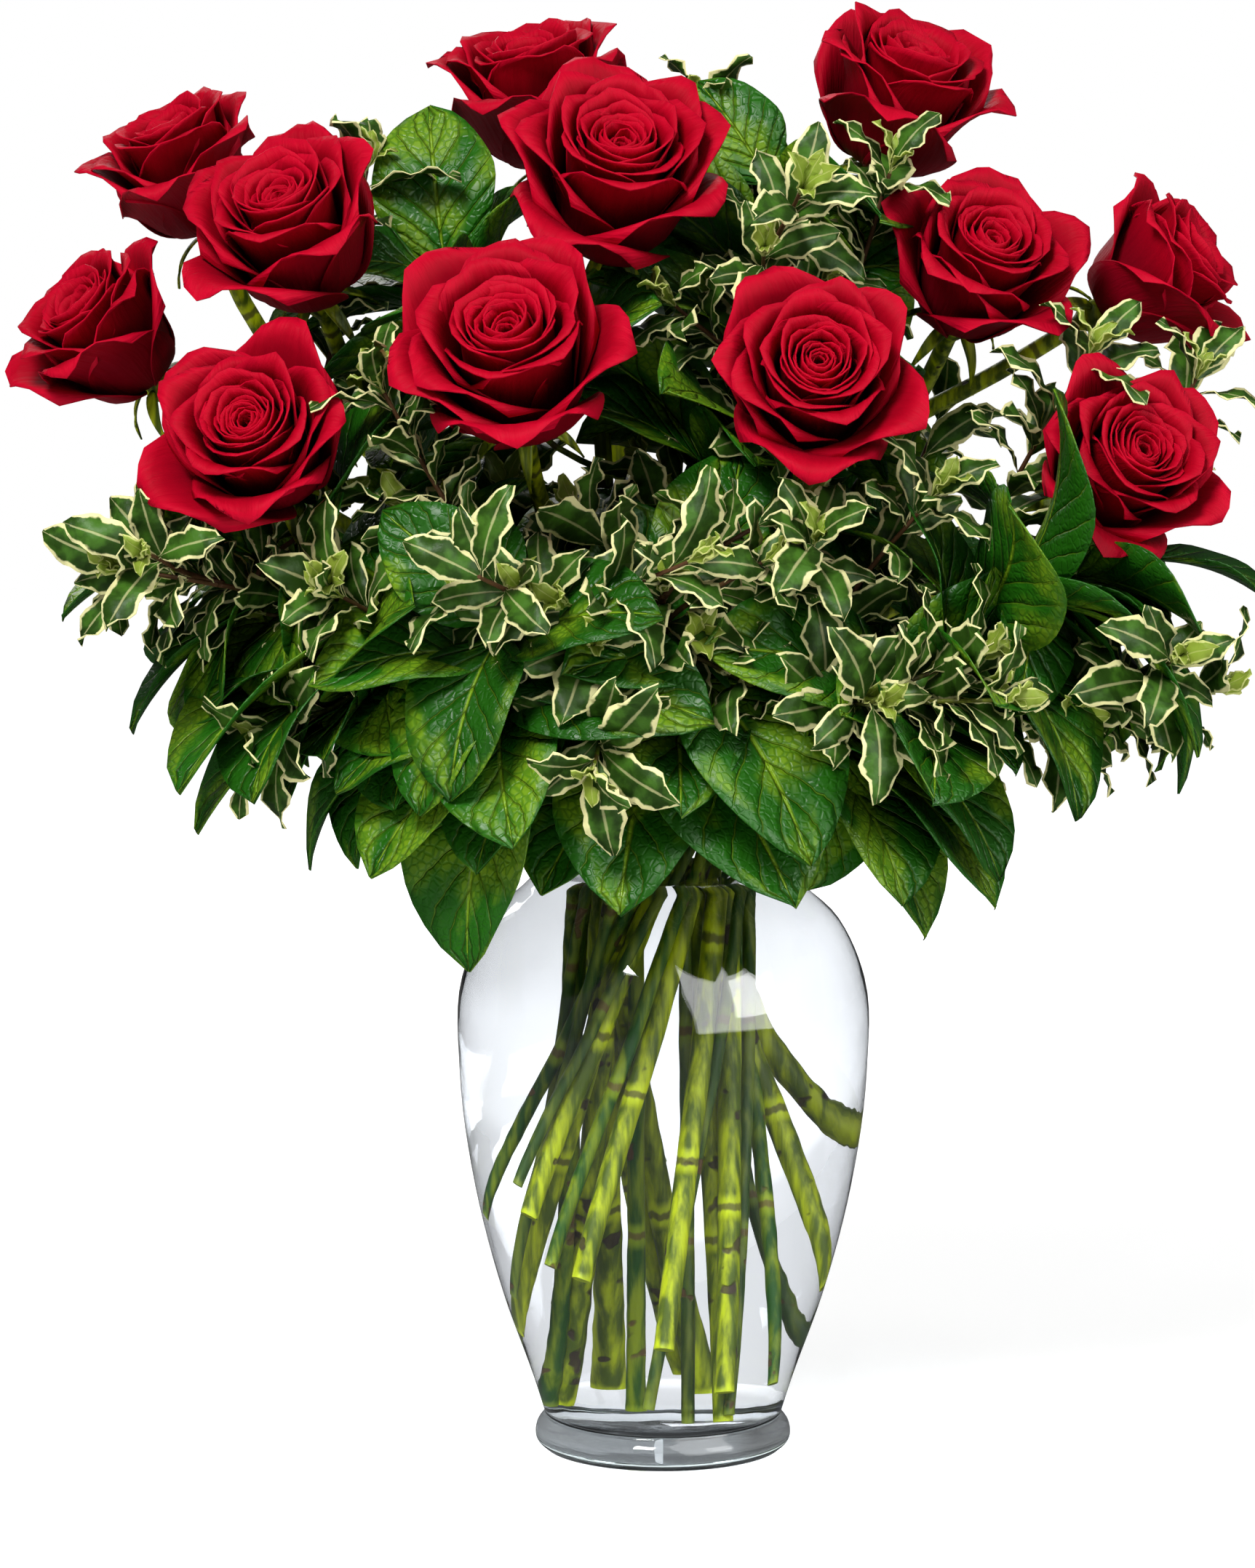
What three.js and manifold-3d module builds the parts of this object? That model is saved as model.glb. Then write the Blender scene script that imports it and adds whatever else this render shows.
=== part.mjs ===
// A dozen red roses with salal and variegated pittosporum in a clear glass vase.
// Millimetres, +Z up. The origin is the middle of the underside of the vase, on the surface it
// stands on. The front of the arrangement looks along -Y and its right side is +X.
import * as THREE from 'three';
import { mergeVertices } from 'three/addons/utils/BufferGeometryUtils.js';
import Module from 'manifold-3d';

const wasm = await Module();
wasm.setup();

// Driving dimensions of the vase: outline points are radius and height.
const FOOT_OUTLINE = [[0, 0], [47, 0], [50, 3], [50, 8], [46.6, 13]];
const WALL_OUTLINE = [[51, 27], [63, 61], [74, 104], [80, 150], [79, 186], [69, 209], [50, 228], [43, 245]];
const LIP_OUTLINE = [[45.5, 254], [50, 261], [51.5, 263.5]];
const WALL_THICKNESS = 3;
const FLOOR_TOP = 11;
const FLOOR_RADIUS = 37;
const NECK_HEIGHT = 245;
const VASE_SIDES = 20;

// The water stands in the neck, where no line of it shows.
const WATER_LEVEL = 226;
const WATER_GAP = 0.35;
const HOLE_GAP = 0.45;

// Clear space that is kept round every piece that is placed among the others.
const CLEARANCE = 0.35;

// Fused solids drop details smaller than this.
const SMALLEST_STEP = 0.1;

// Petals of a full rose, from the heart outwards. Every column runs from the heart (place 0) to
// the outermost petal (place 1): slopes of the petal's middle line in degrees at its base, middle
// and rim, the backward curl of the rim, and its length.
const PETAL_ROOT = 2;
const PETAL_ROOT_GROWTH = 3;
const PETAL_PLACE = [0, 0.2, 0.4, 0.62, 0.8, 0.9, 1];
const PETAL_SHAPE = {
  baseSlope: [62, 54, 46, 38, 30, 24, 16],
  midSlope: [92, 92, 90, 88, 84, 78, 68],
  rimSlope: [101, 99, 94, 86, 74, 62, 44],
  curl: [0, 4, 16, 40, 74, 92, 100],
  length: [38, 42, 46, 50, 53, 55, 56],
};
const PETAL_THICKNESS = 0.9;
const PETAL_MIDDLE = 0.38;
const PETAL_RIM = 0.8;
const PETAL_ROUND = 0.13;
const PETAL_POINT = 0.26;
const POINTED_FROM = 0.55;
const PETAL_TUCK = 1.6;

// A bloom in the source is one closed surface that climbs the outside of each whorl of petals,
// turns over their rims and goes down to the groove behind them, and so on to the heart.
// Each whorl: its place in the full rose, its turn in petals, the share of a petal's width that
// shows between its neighbours, and the places along the petals of the rows up and down.
const PETALS_AROUND = 5;
const COLUMNS_OF_PETAL = [0.04, 0.5, 0.96];
const WHORLS = [
  { place: 1, turn: 0, shown: 0.78, up: [0.28, 0.6, 0.82, 0.96], down: [0.96, 0.82, 0.6, 0.36] },
  { place: 0.7, turn: 0.5, shown: 0.6, up: [0.55, 1], down: [1, 0.55] },
];
const HEART_OUTLINE = [[9.5, 30], [8, 40], [4.5, 36], [0, 40]];
const BLOOM_SEAT = 5;
const BLOOM_GAP = 0.3;
const FULL_ROSE_WIDTH = 79;
const GOLDEN_ANGLE = 137.5;

// Rose stems, their swollen tops and the five sepals under each bloom.
const ROSE_STEM_TOP = 3.3;
const ROSE_STEM_FOOT = 3.8;
const HIP_OUTLINE = [[0, -15], [6, -7], [5, 0], [0, 0]];
const SEPAL_COUNT = 5;
const SEPAL_LENGTH = 27;
const SEPAL_DROOP = 38;
const SEPAL_SEAT = [6, -4.4];
const SEPAL_NOTCH = 1.2;
const SEPAL_THICKNESS = 1;
const HIP_JOINT = 10;
const STRAIGHT_TOP = 24;

// Each rose: where its bloom sits on its stem, which way the bloom looks (turned from the front
// towards the right, and raised, in degrees), its width and its spin. A stem's waist is given by
// its distance from the middle of the neck and its direction, and its foot by its distance from
// the middle and its height.
const ROSES = [
  { base: [-200, 16, 420], turn: -53, raise: 41, width: 72, spin: 10, waist: [22, 131], foot: [70, 112] },
  { base: [-179, 44, 479], turn: -45, raise: 60, width: 72, spin: 80, waist: [22, 98], foot: [60, 66] },
  { base: [-133, -19, 453], turn: -23, raise: 49, width: 80, spin: 35, waist: [22, 164], foot: [40, 24] },
  { base: [-144, -56, 382], turn: -16, raise: 32, width: 77, spin: 0, waist: [33, 158], foot: [50, 34] },
  { base: [-46, 68, 505], turn: -27, raise: 70, width: 78, spin: 50, waist: [22, 66], foot: [36, 16] },
  { base: [-21, -7, 473], turn: 8, raise: 45, width: 88, spin: 20, waist: [22, 229], foot: [36, 16] },
  { base: [-53, -71, 406], turn: -8, raise: 41, width: 89, spin: 62, waist: [22, 197], foot: [40, 26] },
  { base: [54, -62, 406], turn: 3, raise: 28, width: 79, spin: 40, waist: [22, 262], foot: [55, 48] },
  { base: [85, 52, 505], turn: 34, raise: 57, width: 80, spin: 15, waist: [22, 33], foot: [40, 30] },
  { base: [114, 3, 444], turn: 20, raise: 41, width: 76, spin: 70, waist: [22, 328], foot: [62, 77] },
  { base: [173, 32, 447], turn: 72, raise: 31, width: 72, spin: 5, waist: [22, 0], foot: [55, 50] },
  { base: [163, -29, 374], turn: 24, raise: 27, width: 76, spin: 28, waist: [22, 295], foot: [70, 100] },
];

// The stems cross in the neck as a hand-made spiral: every foot stands a quarter turn behind its
// waist. A stem looks for a free way by steps aside of its waist and bow, and slides of its foot.
const WAIST_STEP = 1.5;
const FOOT_SLIDES = 11;
const FOOT_SLIDE = 7;
const SPIRAL_TURN = 90;
const BOW_STEP = 1.6;
const STEM_TRIES = 1650;
const RINGS_PER_SPAN = 2;
const STEM_SIDES = 5;
const TWIG_SIDES = 4;
const SLANT = 1.3;
const WALL_ROOM = 2.2;
const LIP_FLARE = 0.3;
const STEM_TAPER = 0.6;
const TWIG_TAPER = 0.35;

// How a leaf looks for a free place: turns of its tip as a share of its length.
const LEAF_STEP = 0.07;
const LEAF_TRIES = 30;
const LEAF_CLEARANCE = 0.2;
const LEAF_FREE_FROM = 0.3;
const LEAF_FACING = [0.8, 0.6];

// Salal: a stem runs from its foot through the neck and on through its points. Each leaf grows
// from a place along those points, which count from 0, to its tip.
const SALAL_STEM = 2.6;
const SALAL_TWIG = 1.5;
const SALAL = [
  {
    name: 'salal_front_left', waist: [33, 222], foot: [38, 16],
    points: [[-44, -50, 282], [-62, -76, 300], [-60, -94, 330]],
    leaves: [
      [0.5, [-73, -86, 200]], [1, [-122, -92, 268]], [1.6, [-90, -118, 262]], [2, [-78, -128, 268]],
      [2, [-104, -96, 372]],
    ],
    twigs: [{
      from: 0.3, points: [[-92, -38, 292], [-124, -56, 314]],
      leaves: [[0, [-116, -62, 236]], [0.5, [-142, -74, 262]], [1, [-172, -66, 296]], [1, [-140, -90, 350]]],
    }],
  },
  {
    name: 'salal_front', waist: [33, 276], foot: [70, 94],
    points: [[-4, -48, 280], [10, -78, 312]],
    leaves: [
      [0, [-46, -96, 230]], [0.15, [-16, -100, 208]], [0.4, [30, -98, 206]], [1, [56, -116, 240]],
      [1, [-34, -128, 318]],
    ],
    twigs: [],
  },
  {
    name: 'salal_right', waist: [33, 316], foot: [66, 81],
    points: [[44, -40, 280], [84, -74, 300], [126, -62, 340], [170, -34, 350]],
    leaves: [
      [0, [88, -96, 226]], [0.2, [124, -72, 222]], [1, [128, -108, 276]], [1.1, [120, -98, 352]],
      [1.6, [152, -98, 258]], [2, [116, -98, 300]], [2.2, [194, -66, 326]], [3, [236, -36, 330]],
    ],
    twigs: [],
  },
  {
    name: 'salal_left', waist: [33, 181], foot: [72, 112],
    points: [[-60, -22, 290], [-110, -26, 330], [-160, -28, 352]],
    leaves: [
      [0.2, [-100, -100, 262]], [0.7, [-180, -96, 268]], [1.4, [-212, -40, 300]], [1.8, [-196, -66, 368]],
      [2, [-226, -62, 330]],
    ],
    twigs: [],
  },
  {
    name: 'salal_top', waist: [9, 200], foot: [20, 16],
    points: [[4, 8, 310], [20, 6, 380], [40, 14, 440], [44, 32, 492]],
    leaves: [[1, [-42, -20, 410]], [1.6, [76, 30, 420]], [2.2, [104, 4, 462]], [3, [14, 40, 536]]],
    twigs: [{
      from: 0.6, points: [[-50, 14, 400], [-84, 10, 456]],
      leaves: [[0.4, [-104, 12, 398]], [1, [-128, -14, 470]], [1, [-94, 22, 528]]],
    }],
  },
  {
    name: 'salal_back', waist: [33, 64], foot: [45, 30],
    points: [[10, 46, 284], [40, 82, 316], [84, 96, 340]],
    leaves: [[0, [-12, 108, 226]], [0.3, [52, 108, 222]], [1, [104, 128, 280]], [2, [150, 118, 326]],
      [2, [92, 110, 416]]],
    twigs: [{
      from: 0.3, points: [[-46, 64, 306], [-96, 74, 344]],
      leaves: [[0, [-78, 94, 236]], [0.5, [-122, 92, 280]], [1, [-168, 92, 326]], [1, [-92, 96, 416]]],
    }],
  },
];

// Variegated pittosporum: the same kind of stem, whose twigs end in rosettes of small waved leaves.
const PITTOSPORUM_STEM = 2.3;
const PITTOSPORUM_TWIG = 1.2;
const ROSETTE_SPACING = 4;
const PITTOSPORUM = [
  {
    name: 'pittosporum_front_left', waist: [33, 240], foot: [45, 40], leaves: 7,
    points: [[-34, -56, 300], [-59, -112, 340]],
    twigs: [
      { from: 0.3, points: [[-84, -66, 320], [-119, -90, 340]], leaves: 4 },
      { from: 0.5, points: [[-80, -70, 372], [-104, -80, 415]], leaves: 4 },
    ],
  },
  {
    name: 'pittosporum_front', waist: [33, 258], foot: [60, 64], leaves: 7,
    points: [[-2, -60, 300], [-4, -110, 342]],
    twigs: [{ from: 0.5, points: [[-20, -104, 300], [-26, -132, 282]], leaves: 4 }],
  },
  {
    name: 'pittosporum_front_right', waist: [33, 293], foot: [72, 112], leaves: 7,
    points: [[40, -66, 290], [69, -118, 304]],
    twigs: [
      { from: 0.3, points: [[44, -76, 330], [54, -106, 360]], leaves: 4 },
      { from: 0.3, points: [[70, -70, 340], [97, -92, 376]], leaves: 4 },
    ],
  },
  {
    name: 'pittosporum_left', waist: [33, 202], foot: [60, 60], leaves: 4,
    points: [[-76, -34, 310], [-140, -44, 336], [-178, -54, 346]],
    twigs: [
      { from: 0.4, points: [[-120, -58, 300], [-146, -78, 290]], leaves: 4 },
      { from: 1, points: [[-128, 0, 430], [-114, 4, 500]], leaves: 4 },
    ],
  },
  {
    name: 'pittosporum_right', waist: [33, 345], foot: [40, 24], leaves: 4,
    points: [[76, -26, 284], [134, -40, 290], [172, -48, 298]],
    twigs: [
      { from: 0.6, points: [[130, -20, 370], [160, -44, 428]], leaves: 4 },
      { from: 1, points: [[176, 0, 360], [204, -18, 420]], leaves: 4 },
    ],
  },
  {
    name: 'pittosporum_top', waist: [9, 20], foot: [24, 16], leaves: 4,
    points: [[20, -10, 330], [34, -22, 410], [41, -38, 468]],
    twigs: [
      { from: 1, points: [[70, 0, 450], [86, -20, 498]], leaves: 4 },
      { from: 1, points: [[20, 40, 450], [16, 56, 524]], leaves: 4 },
    ],
  },
  {
    name: 'pittosporum_back_left', waist: [33, 96], foot: [50, 31], leaves: 5,
    points: [[-34, 54, 296], [-62, 100, 346]],
    twigs: [{ from: 0.3, points: [[-90, 50, 360], [-122, 62, 404]], leaves: 4 }],
  },
  {
    name: 'pittosporum_back_right', waist: [33, 38], foot: [38, 20], leaves: 5,
    points: [[36, 60, 286], [44, 116, 316]],
    twigs: [{ from: 0.4, points: [[86, 60, 350], [112, 72, 404]], leaves: 4 }],
  },
];

// The two kinds of leaf. A stalk takes the first part of the length, then the outline opens to
// the given share of the length on each side of the rib.
const SALAL_LEAF = {
  stalk: 0.1, stalkWidth: 0.7, aspect: 0.29, thickness: 0.8, arch: 0.09, fold: 0.16,
  wave: 0.8, ripples: 9, grid: [2, 3], outline: (s) => 2.545 * s ** 0.5 * (1 - s) ** 0.95,
};
const PITTOSPORUM_LEAF = {
  stalk: 0.08, stalkWidth: 0.6, aspect: 0.19, thickness: 0.7, arch: 0.06, fold: 0.12,
  wave: 1.5, ripples: 16, grid: [1, 3], outline: (s) => 2.82 * s ** 0.8 * (1 - s) ** 0.7,
};
const RIPPLE_SLANT = 1.4;
const LEAF_ROWS = 1.5;

const ROSETTE_LEAF = 40;
const ROSETTE_TILT = 22;
const ROSETTE_SPREAD = 58;

const GLASS = { color: 0xe6eef4, roughness: 0.04, metalness: 0, transparent: true, opacity: 0.35 };
const WATER = { color: 0xf2f8fa, roughness: 0.02, metalness: 0, transparent: true, opacity: 0.3 };
const PETAL_RED = { color: 0xa80a1c, roughness: 0.55, metalness: 0 };
const ROSE_GREEN = { color: 0x6d8a2b, roughness: 0.5, metalness: 0 };
const SALAL_GREEN = { color: 0x2f6a26, roughness: 0.35, metalness: 0 };
const PITTOSPORUM_GREEN = { color: 0x7c8f62, roughness: 0.45, metalness: 0 };

const arrangement = new THREE.Group();
const placed = [];

function vector(point) {
  return new THREE.Vector3(...point);
}

function radians(degrees) {
  return THREE.MathUtils.degToRad(degrees);
}

function blend(value, places, levels) {
  let k = 1;
  while (k < places.length - 1 && value > places[k]) k++;
  const part = (value - places[k - 1]) / (places[k] - places[k - 1]);
  return levels[k - 1] + part * (levels[k] - levels[k - 1]);
}

// A repeatable stream of numbers from 0 to 1.
function seeded(seed) {
  let state = 100003 * seed + 17;
  return () => {
    state = (state * 16807) % 2147483647;
    return state / 2147483647;
  };
}

function spread(random, reach) {
  return (2 * random() - 1) * reach;
}

function twoDigits(number) {
  return String(number).padStart(2, '0');
}

function nameOf(rose) {
  return `rose_${twoDigits(rose + 1)}_stem`;
}

// Closed geometry to a solid, back again, and fused into one body without scraps or sealed hollows.
function solid(geometry) {
  geometry.deleteAttribute('normal');
  geometry.deleteAttribute('uv');
  const merged = mergeVertices(geometry, 1e-4);
  return new wasm.Manifold(new wasm.Mesh({
    numProp: 3,
    vertProperties: merged.attributes.position.array,
    triVerts: new Uint32Array(merged.index.array),
  }));
}

function fused(solids) {
  const whole = solids.reduce((sum, next) => sum.add(next));
  const bodies = whole.asOriginal().simplify(SMALLEST_STEP).decompose();
  return bodies.reduce((best, body) => (body.volume() > best.volume() ? body : best));
}

function addNode(name, body, finish) {
  const mesh = body.getMesh();
  const geometry = new THREE.BufferGeometry();
  geometry.setAttribute('position', new THREE.BufferAttribute(mesh.vertProperties.slice(), 3));
  geometry.setIndex(new THREE.BufferAttribute(mesh.triVerts.slice(), 1));
  geometry.computeVertexNormals();
  const node = new THREE.Mesh(geometry, new THREE.MeshStandardMaterial(finish));
  node.name = name;
  arrangement.add(node);
}

function closedGeometry(coordinates, faces) {
  const geometry = new THREE.BufferGeometry();
  geometry.setAttribute('position', new THREE.Float32BufferAttribute(coordinates, 3));
  geometry.setIndex(faces);
  return geometry;
}

// A solid of revolution about the Z axis. Its outline starts and ends on the axis.
function lathe(outline, sides) {
  const points = outline.map(([radius, height]) => new THREE.Vector2(radius, height));
  return new THREE.LatheGeometry(points, sides).rotateX(Math.PI / 2);
}

// A round bar through the points, with a radius at each of them, made from a bent cylinder.
function sweep(points, radii, sides) {
  const last = points.length - 1;
  const bar = new THREE.CylinderGeometry(1, 1, 1, sides, last);
  const chord = points[last].clone().sub(points[0]);
  const axes = [new THREE.Vector3(1, 0, 0), new THREE.Vector3(0, 1, 0), new THREE.Vector3(0, 0, 1)];
  const across = axes.reduce((a, b) => (Math.abs(b.dot(chord)) < Math.abs(a.dot(chord)) ? b : a));
  const corners = bar.attributes.position;
  for (let i = 0; i < corners.count; i++) {
    const k = Math.round((corners.getY(i) + 0.5) * last);
    const along = points[Math.min(k + 1, last)].clone().sub(points[Math.max(k - 1, 0)]).normalize();
    const first = across.clone().addScaledVector(along, -across.dot(along)).normalize();
    const second = first.clone().cross(along);
    const corner = points[k].clone()
      .addScaledVector(first, corners.getX(i) * radii[k])
      .addScaledVector(second, corners.getZ(i) * radii[k]);
    corners.setXYZ(i, corner.x, corner.y, corner.z);
  }
  return bar;
}

// A thin closed blade. middle(u, v) is its middle surface, with u from -1 to 1 across it and
// v from 0 to 1 along it. Both faces are split along the same diagonals.
function blade(across, along, thickness, middle) {
  const step = 1e-3;
  const corners = [];
  for (const side of [0.5, -0.5]) {
    for (let i = 0; i <= across; i++) {
      for (let j = 0; j <= along; j++) {
        const u = (2 * i) / across - 1;
        const v = j / along;
        const du = middle(u + step, v).sub(middle(u - step, v));
        const dv = middle(u, Math.min(1, v + step)).sub(middle(u, Math.max(0, v - step)));
        const outward = du.cross(dv).normalize();
        corners.push(middle(u, v).addScaledVector(outward, side * thickness));
      }
    }
  }
  const lower = corners.length / 2;
  const at = (i, j) => i * (along + 1) + j;
  const faces = [];
  for (let i = 0; i < across; i++) {
    for (let j = 0; j < along; j++) {
      const [a, b, c, d] = [at(i, j), at(i + 1, j), at(i + 1, j + 1), at(i, j + 1)];
      faces.push(a, b, c, a, c, d);
      faces.push(lower + a, lower + c, lower + b, lower + a, lower + d, lower + c);
    }
  }
  const rim = [];
  for (let i = 0; i < across; i++) rim.push(at(i, 0));
  for (let j = 0; j < along; j++) rim.push(at(across, j));
  for (let i = across; i > 0; i--) rim.push(at(i, along));
  for (let j = along; j > 0; j--) rim.push(at(0, j));
  rim.forEach((a, k) => {
    const b = rim[(k + 1) % rim.length];
    faces.push(a, lower + a, lower + b, a, lower + b, b);
  });
  return closedGeometry(corners.flatMap((corner) => corner.toArray()), faces);
}

// What is already placed, kept as small solids with their boxes.
function occupy(body, owner) {
  placed.push({ body, box: body.boundingBox(), owner });
}

// Whether a solid crosses nothing that is placed, apart from what its own plant's stem holds.
function isClear(body, owner) {
  const box = body.boundingBox();
  return !placed.some((other) => {
    if (other.owner === owner) return false;
    const apart = [0, 1, 2].some((k) => box.min[k] > other.box.max[k] || box.max[k] < other.box.min[k]);
    return !apart && !body.intersect(other.body).isEmpty();
  });
}

// The outline of the inside of the vase, from the middle of its floor to the lip.
function insideOutline(gap) {
  const outline = [[0, FLOOR_TOP + gap], [FLOOR_RADIUS, FLOOR_TOP + gap]];
  const inset = WALL_THICKNESS + gap;
  const wall = [FOOT_OUTLINE.at(-1), ...WALL_OUTLINE, LIP_OUTLINE[0]];
  for (let k = 1; k < wall.length - 1; k++) {
    const rise = wall[k + 1][1] - wall[k - 1][1];
    const widen = wall[k + 1][0] - wall[k - 1][0];
    const run = Math.hypot(rise, widen);
    outline.push([wall[k][0] - (inset * rise) / run, wall[k][1] + (inset * widen) / run]);
  }
  return outline;
}

function insideRadius(height) {
  const outline = insideOutline(0).slice(1);
  return blend(height, outline.map((point) => point[1]), outline.map((point) => point[0]));
}

function makeVase() {
  const lipTop = [LIP_OUTLINE.at(-1)[0] - WALL_THICKNESS, LIP_OUTLINE.at(-1)[1]];
  const lipInside = [LIP_OUTLINE[0][0] - WALL_THICKNESS + 0.6, LIP_OUTLINE[0][1]];
  const inside = insideOutline(0).reverse();
  const outline = [...FOOT_OUTLINE, ...WALL_OUTLINE, ...LIP_OUTLINE, lipTop, lipInside, ...inside];
  const vase = solid(lathe(outline, VASE_SIDES));
  occupy(vase, 'vase');
  addNode('vase', vase, GLASS);
}

// The stretch of a stem above the neck: a smooth curve that leaves the waist in the direction
// of the straight stretch below it and passes through the points. place counts the points.
function upperCurve(foot, waist, points) {
  const knots = [waist, ...points];
  const last = knots.length - 1;
  const lengths = knots.slice(1).map((knot, k) => knot.distanceTo(knots[k]));
  const chords = lengths.map((length, k) => knots[k + 1].clone().sub(knots[k]).divideScalar(length));
  const slopes = knots.map((_, k) => {
    if (k === 0) return waist.clone().sub(foot).normalize();
    if (k === last) return chords[last - 1].clone();
    const whole = lengths[k - 1] + lengths[k];
    return chords[k].clone().multiplyScalar(lengths[k - 1] / whole)
      .addScaledVector(chords[k - 1], lengths[k] / whole);
  });
  return (place) => {
    const k = Math.max(0, Math.min(last - 1, Math.floor(place)));
    const t = place - k;
    return knots[k].clone().multiplyScalar((1 + 2 * t) * (1 - t) ** 2)
      .addScaledVector(slopes[k], t * (1 - t) ** 2 * lengths[k])
      .addScaledVector(knots[k + 1], t * t * (3 - 2 * t))
      .addScaledVector(slopes[k + 1], t * t * (t - 1) * lengths[k]);
  };
}

// The points at which the stretch above the neck has its rings of corners.
function upperPath(curve, spans) {
  const path = [];
  for (let k = 0; k <= spans * RINGS_PER_SPAN; k++) path.push(curve(k / RINGS_PER_SPAN));
  return path;
}

// The point at a place of a path that has a few points to each span.
function along(path, place) {
  const k = Math.max(0, Math.min(path.length - 2, Math.floor(place * RINGS_PER_SPAN)));
  return path[k].clone().lerp(path[k + 1], place * RINGS_PER_SPAN - k);
}

// A small step aside in the level plane, which grows and turns with its number.
function sidestep(number, reach, turn) {
  const angle = radians(turn + GOLDEN_ANGLE * number);
  const size = reach * Math.sqrt(number);
  return new THREE.Vector3(size * Math.cos(angle), size * Math.sin(angle), 0);
}

// How far from the middle of the vase the middle of a bar may lie at a height.
function roomAt(height, radius) {
  const flare = Math.max(0, height - NECK_HEIGHT) * LIP_FLARE;
  return insideRadius(Math.min(height, NECK_HEIGHT)) + flare - radius * SLANT - WALL_ROOM;
}

function heldInside(point, radius) {
  const height = Math.max(point.z, FLOOR_TOP + radius * SLANT + 1);
  const share = Math.min(1, roomAt(height, radius) / Math.hypot(point.x, point.y));
  return new THREE.Vector3(point.x * share, point.y * share, height);
}

// A point of the vase's inside given by its distance from the middle, direction and height.
function roundPoint(distance, direction, height) {
  const angle = radians(direction);
  return new THREE.Vector3(distance * Math.cos(angle), distance * Math.sin(angle), height);
}

// Whether a bar along the path keeps clear of the wall and the floor of the vase.
function staysInside(path, radius) {
  return path.every((point) => {
    if (point.z > LIP_OUTLINE.at(-1)[1] + radius) return true;
    return point.z > FLOOR_TOP + radius && Math.hypot(point.x, point.y) < roomAt(point.z, radius) + 0.01;
  });
}

// A bar with the clear space that is kept round it.
function roomyBar(path, width, sides) {
  return solid(sweep(path, width.map((radius) => radius + CLEARANCE), sides));
}

// Finds a free way for a stem: the first try whose bar crosses nothing that is placed.
// Each try moves the waist a step aside and slides the foot along the wall, to both sides in
// turn. pointsFor gives the points above the neck for a foot, a waist and a sideways bow.
function routeStem(name, row, radii, pointsFor) {
  const [waistReach, waistTurn] = row.waist;
  const [footReach, footHeight] = row.foot;
  for (let number = 0; number < STEM_TRIES; number++) {
    const step = Math.floor(number / FOOT_SLIDES);
    const slide = number % FOOT_SLIDES;
    const aside = FOOT_SLIDE * Math.ceil(slide / 2) * (slide % 2 ? 1 : -1);
    const foot = heldInside(roundPoint(footReach, waistTurn - SPIRAL_TURN + aside, footHeight), radii[0]);
    const start = roundPoint(waistReach, waistTurn, NECK_HEIGHT).add(sidestep(step, WAIST_STEP, 0));
    const waist = heldInside(start, radii[0]);
    const points = pointsFor(foot, waist, sidestep(step, BOW_STEP, 200));
    const curve = upperCurve(foot, waist, points);
    const upper = upperPath(curve, points.length);
    const path = [foot, ...upper];
    const straight = [0, 0.2, 0.4, 0.6, 0.8].map((part) => foot.clone().lerp(waist, part));
    if (!staysInside([...straight, ...path], radii[0])) continue;
    const width = path.map((_, k) => radii[0] + ((radii[1] - radii[0]) * k) / (path.length - 1));
    if (!isClear(roomyBar(path, width, STEM_SIDES), name)) continue;
    const body = solid(sweep(path, width, STEM_SIDES));
    occupy(body, name);
    return { foot, waist, upper, path, width, body };
  }
  throw new Error(`no free way for ${name}`);
}

// The hole that a stem stands in is the stem made a little wider and longer.
function holeFor(stem) {
  const down = stem.foot.clone().sub(stem.waist).setLength(HOLE_GAP);
  const path = [stem.foot.clone().add(down), ...stem.path.slice(1)];
  return solid(sweep(path, stem.width.map((radius) => radius + HOLE_GAP), STEM_SIDES));
}

function makeWater(stems) {
  const outline = insideOutline(WATER_GAP).filter((point) => point[1] < WATER_LEVEL);
  const surface = insideRadius(WATER_LEVEL) - WATER_GAP;
  outline.push([surface, WATER_LEVEL], [0, WATER_LEVEL]);
  const whole = solid(lathe(outline, VASE_SIDES));
  addNode('water', fused([stems.reduce((water, stem) => water.subtract(holeFor(stem)), whole)]), WATER);
}

// The middle line of a petal from its base to its rim, as distances from the bloom's axis and
// heights, found by adding up short steps along the slope.
function petalLine(place) {
  const shape = {};
  for (const [name, levels] of Object.entries(PETAL_SHAPE)) shape[name] = blend(place, PETAL_PLACE, levels);
  const slopes = [shape.baseSlope, shape.midSlope, shape.rimSlope, shape.rimSlope - shape.curl];
  const turns = [0, PETAL_MIDDLE, PETAL_RIM, 1];
  const slopeAt = (v) => {
    const k = v < PETAL_MIDDLE ? 0 : v < PETAL_RIM ? 1 : 2;
    const part = THREE.MathUtils.smoothstep(v, turns[k], turns[k + 1]);
    return radians(slopes[k] + (slopes[k + 1] - slopes[k]) * part);
  };
  const steps = 60;
  const places = [0];
  const distances = [PETAL_ROOT + PETAL_ROOT_GROWTH * place];
  const heights = [0];
  for (let k = 0; k < steps; k++) {
    const slope = slopeAt((k + 0.5) / steps);
    places.push((k + 1) / steps);
    distances.push(distances[k] + (Math.cos(slope) * shape.length) / steps);
    heights.push(heights[k] + (Math.sin(slope) * shape.length) / steps);
  }
  return (v) => ({
    distance: blend(v, places, distances), height: blend(v, places, heights), slope: slopeAt(v),
  });
}

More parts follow.
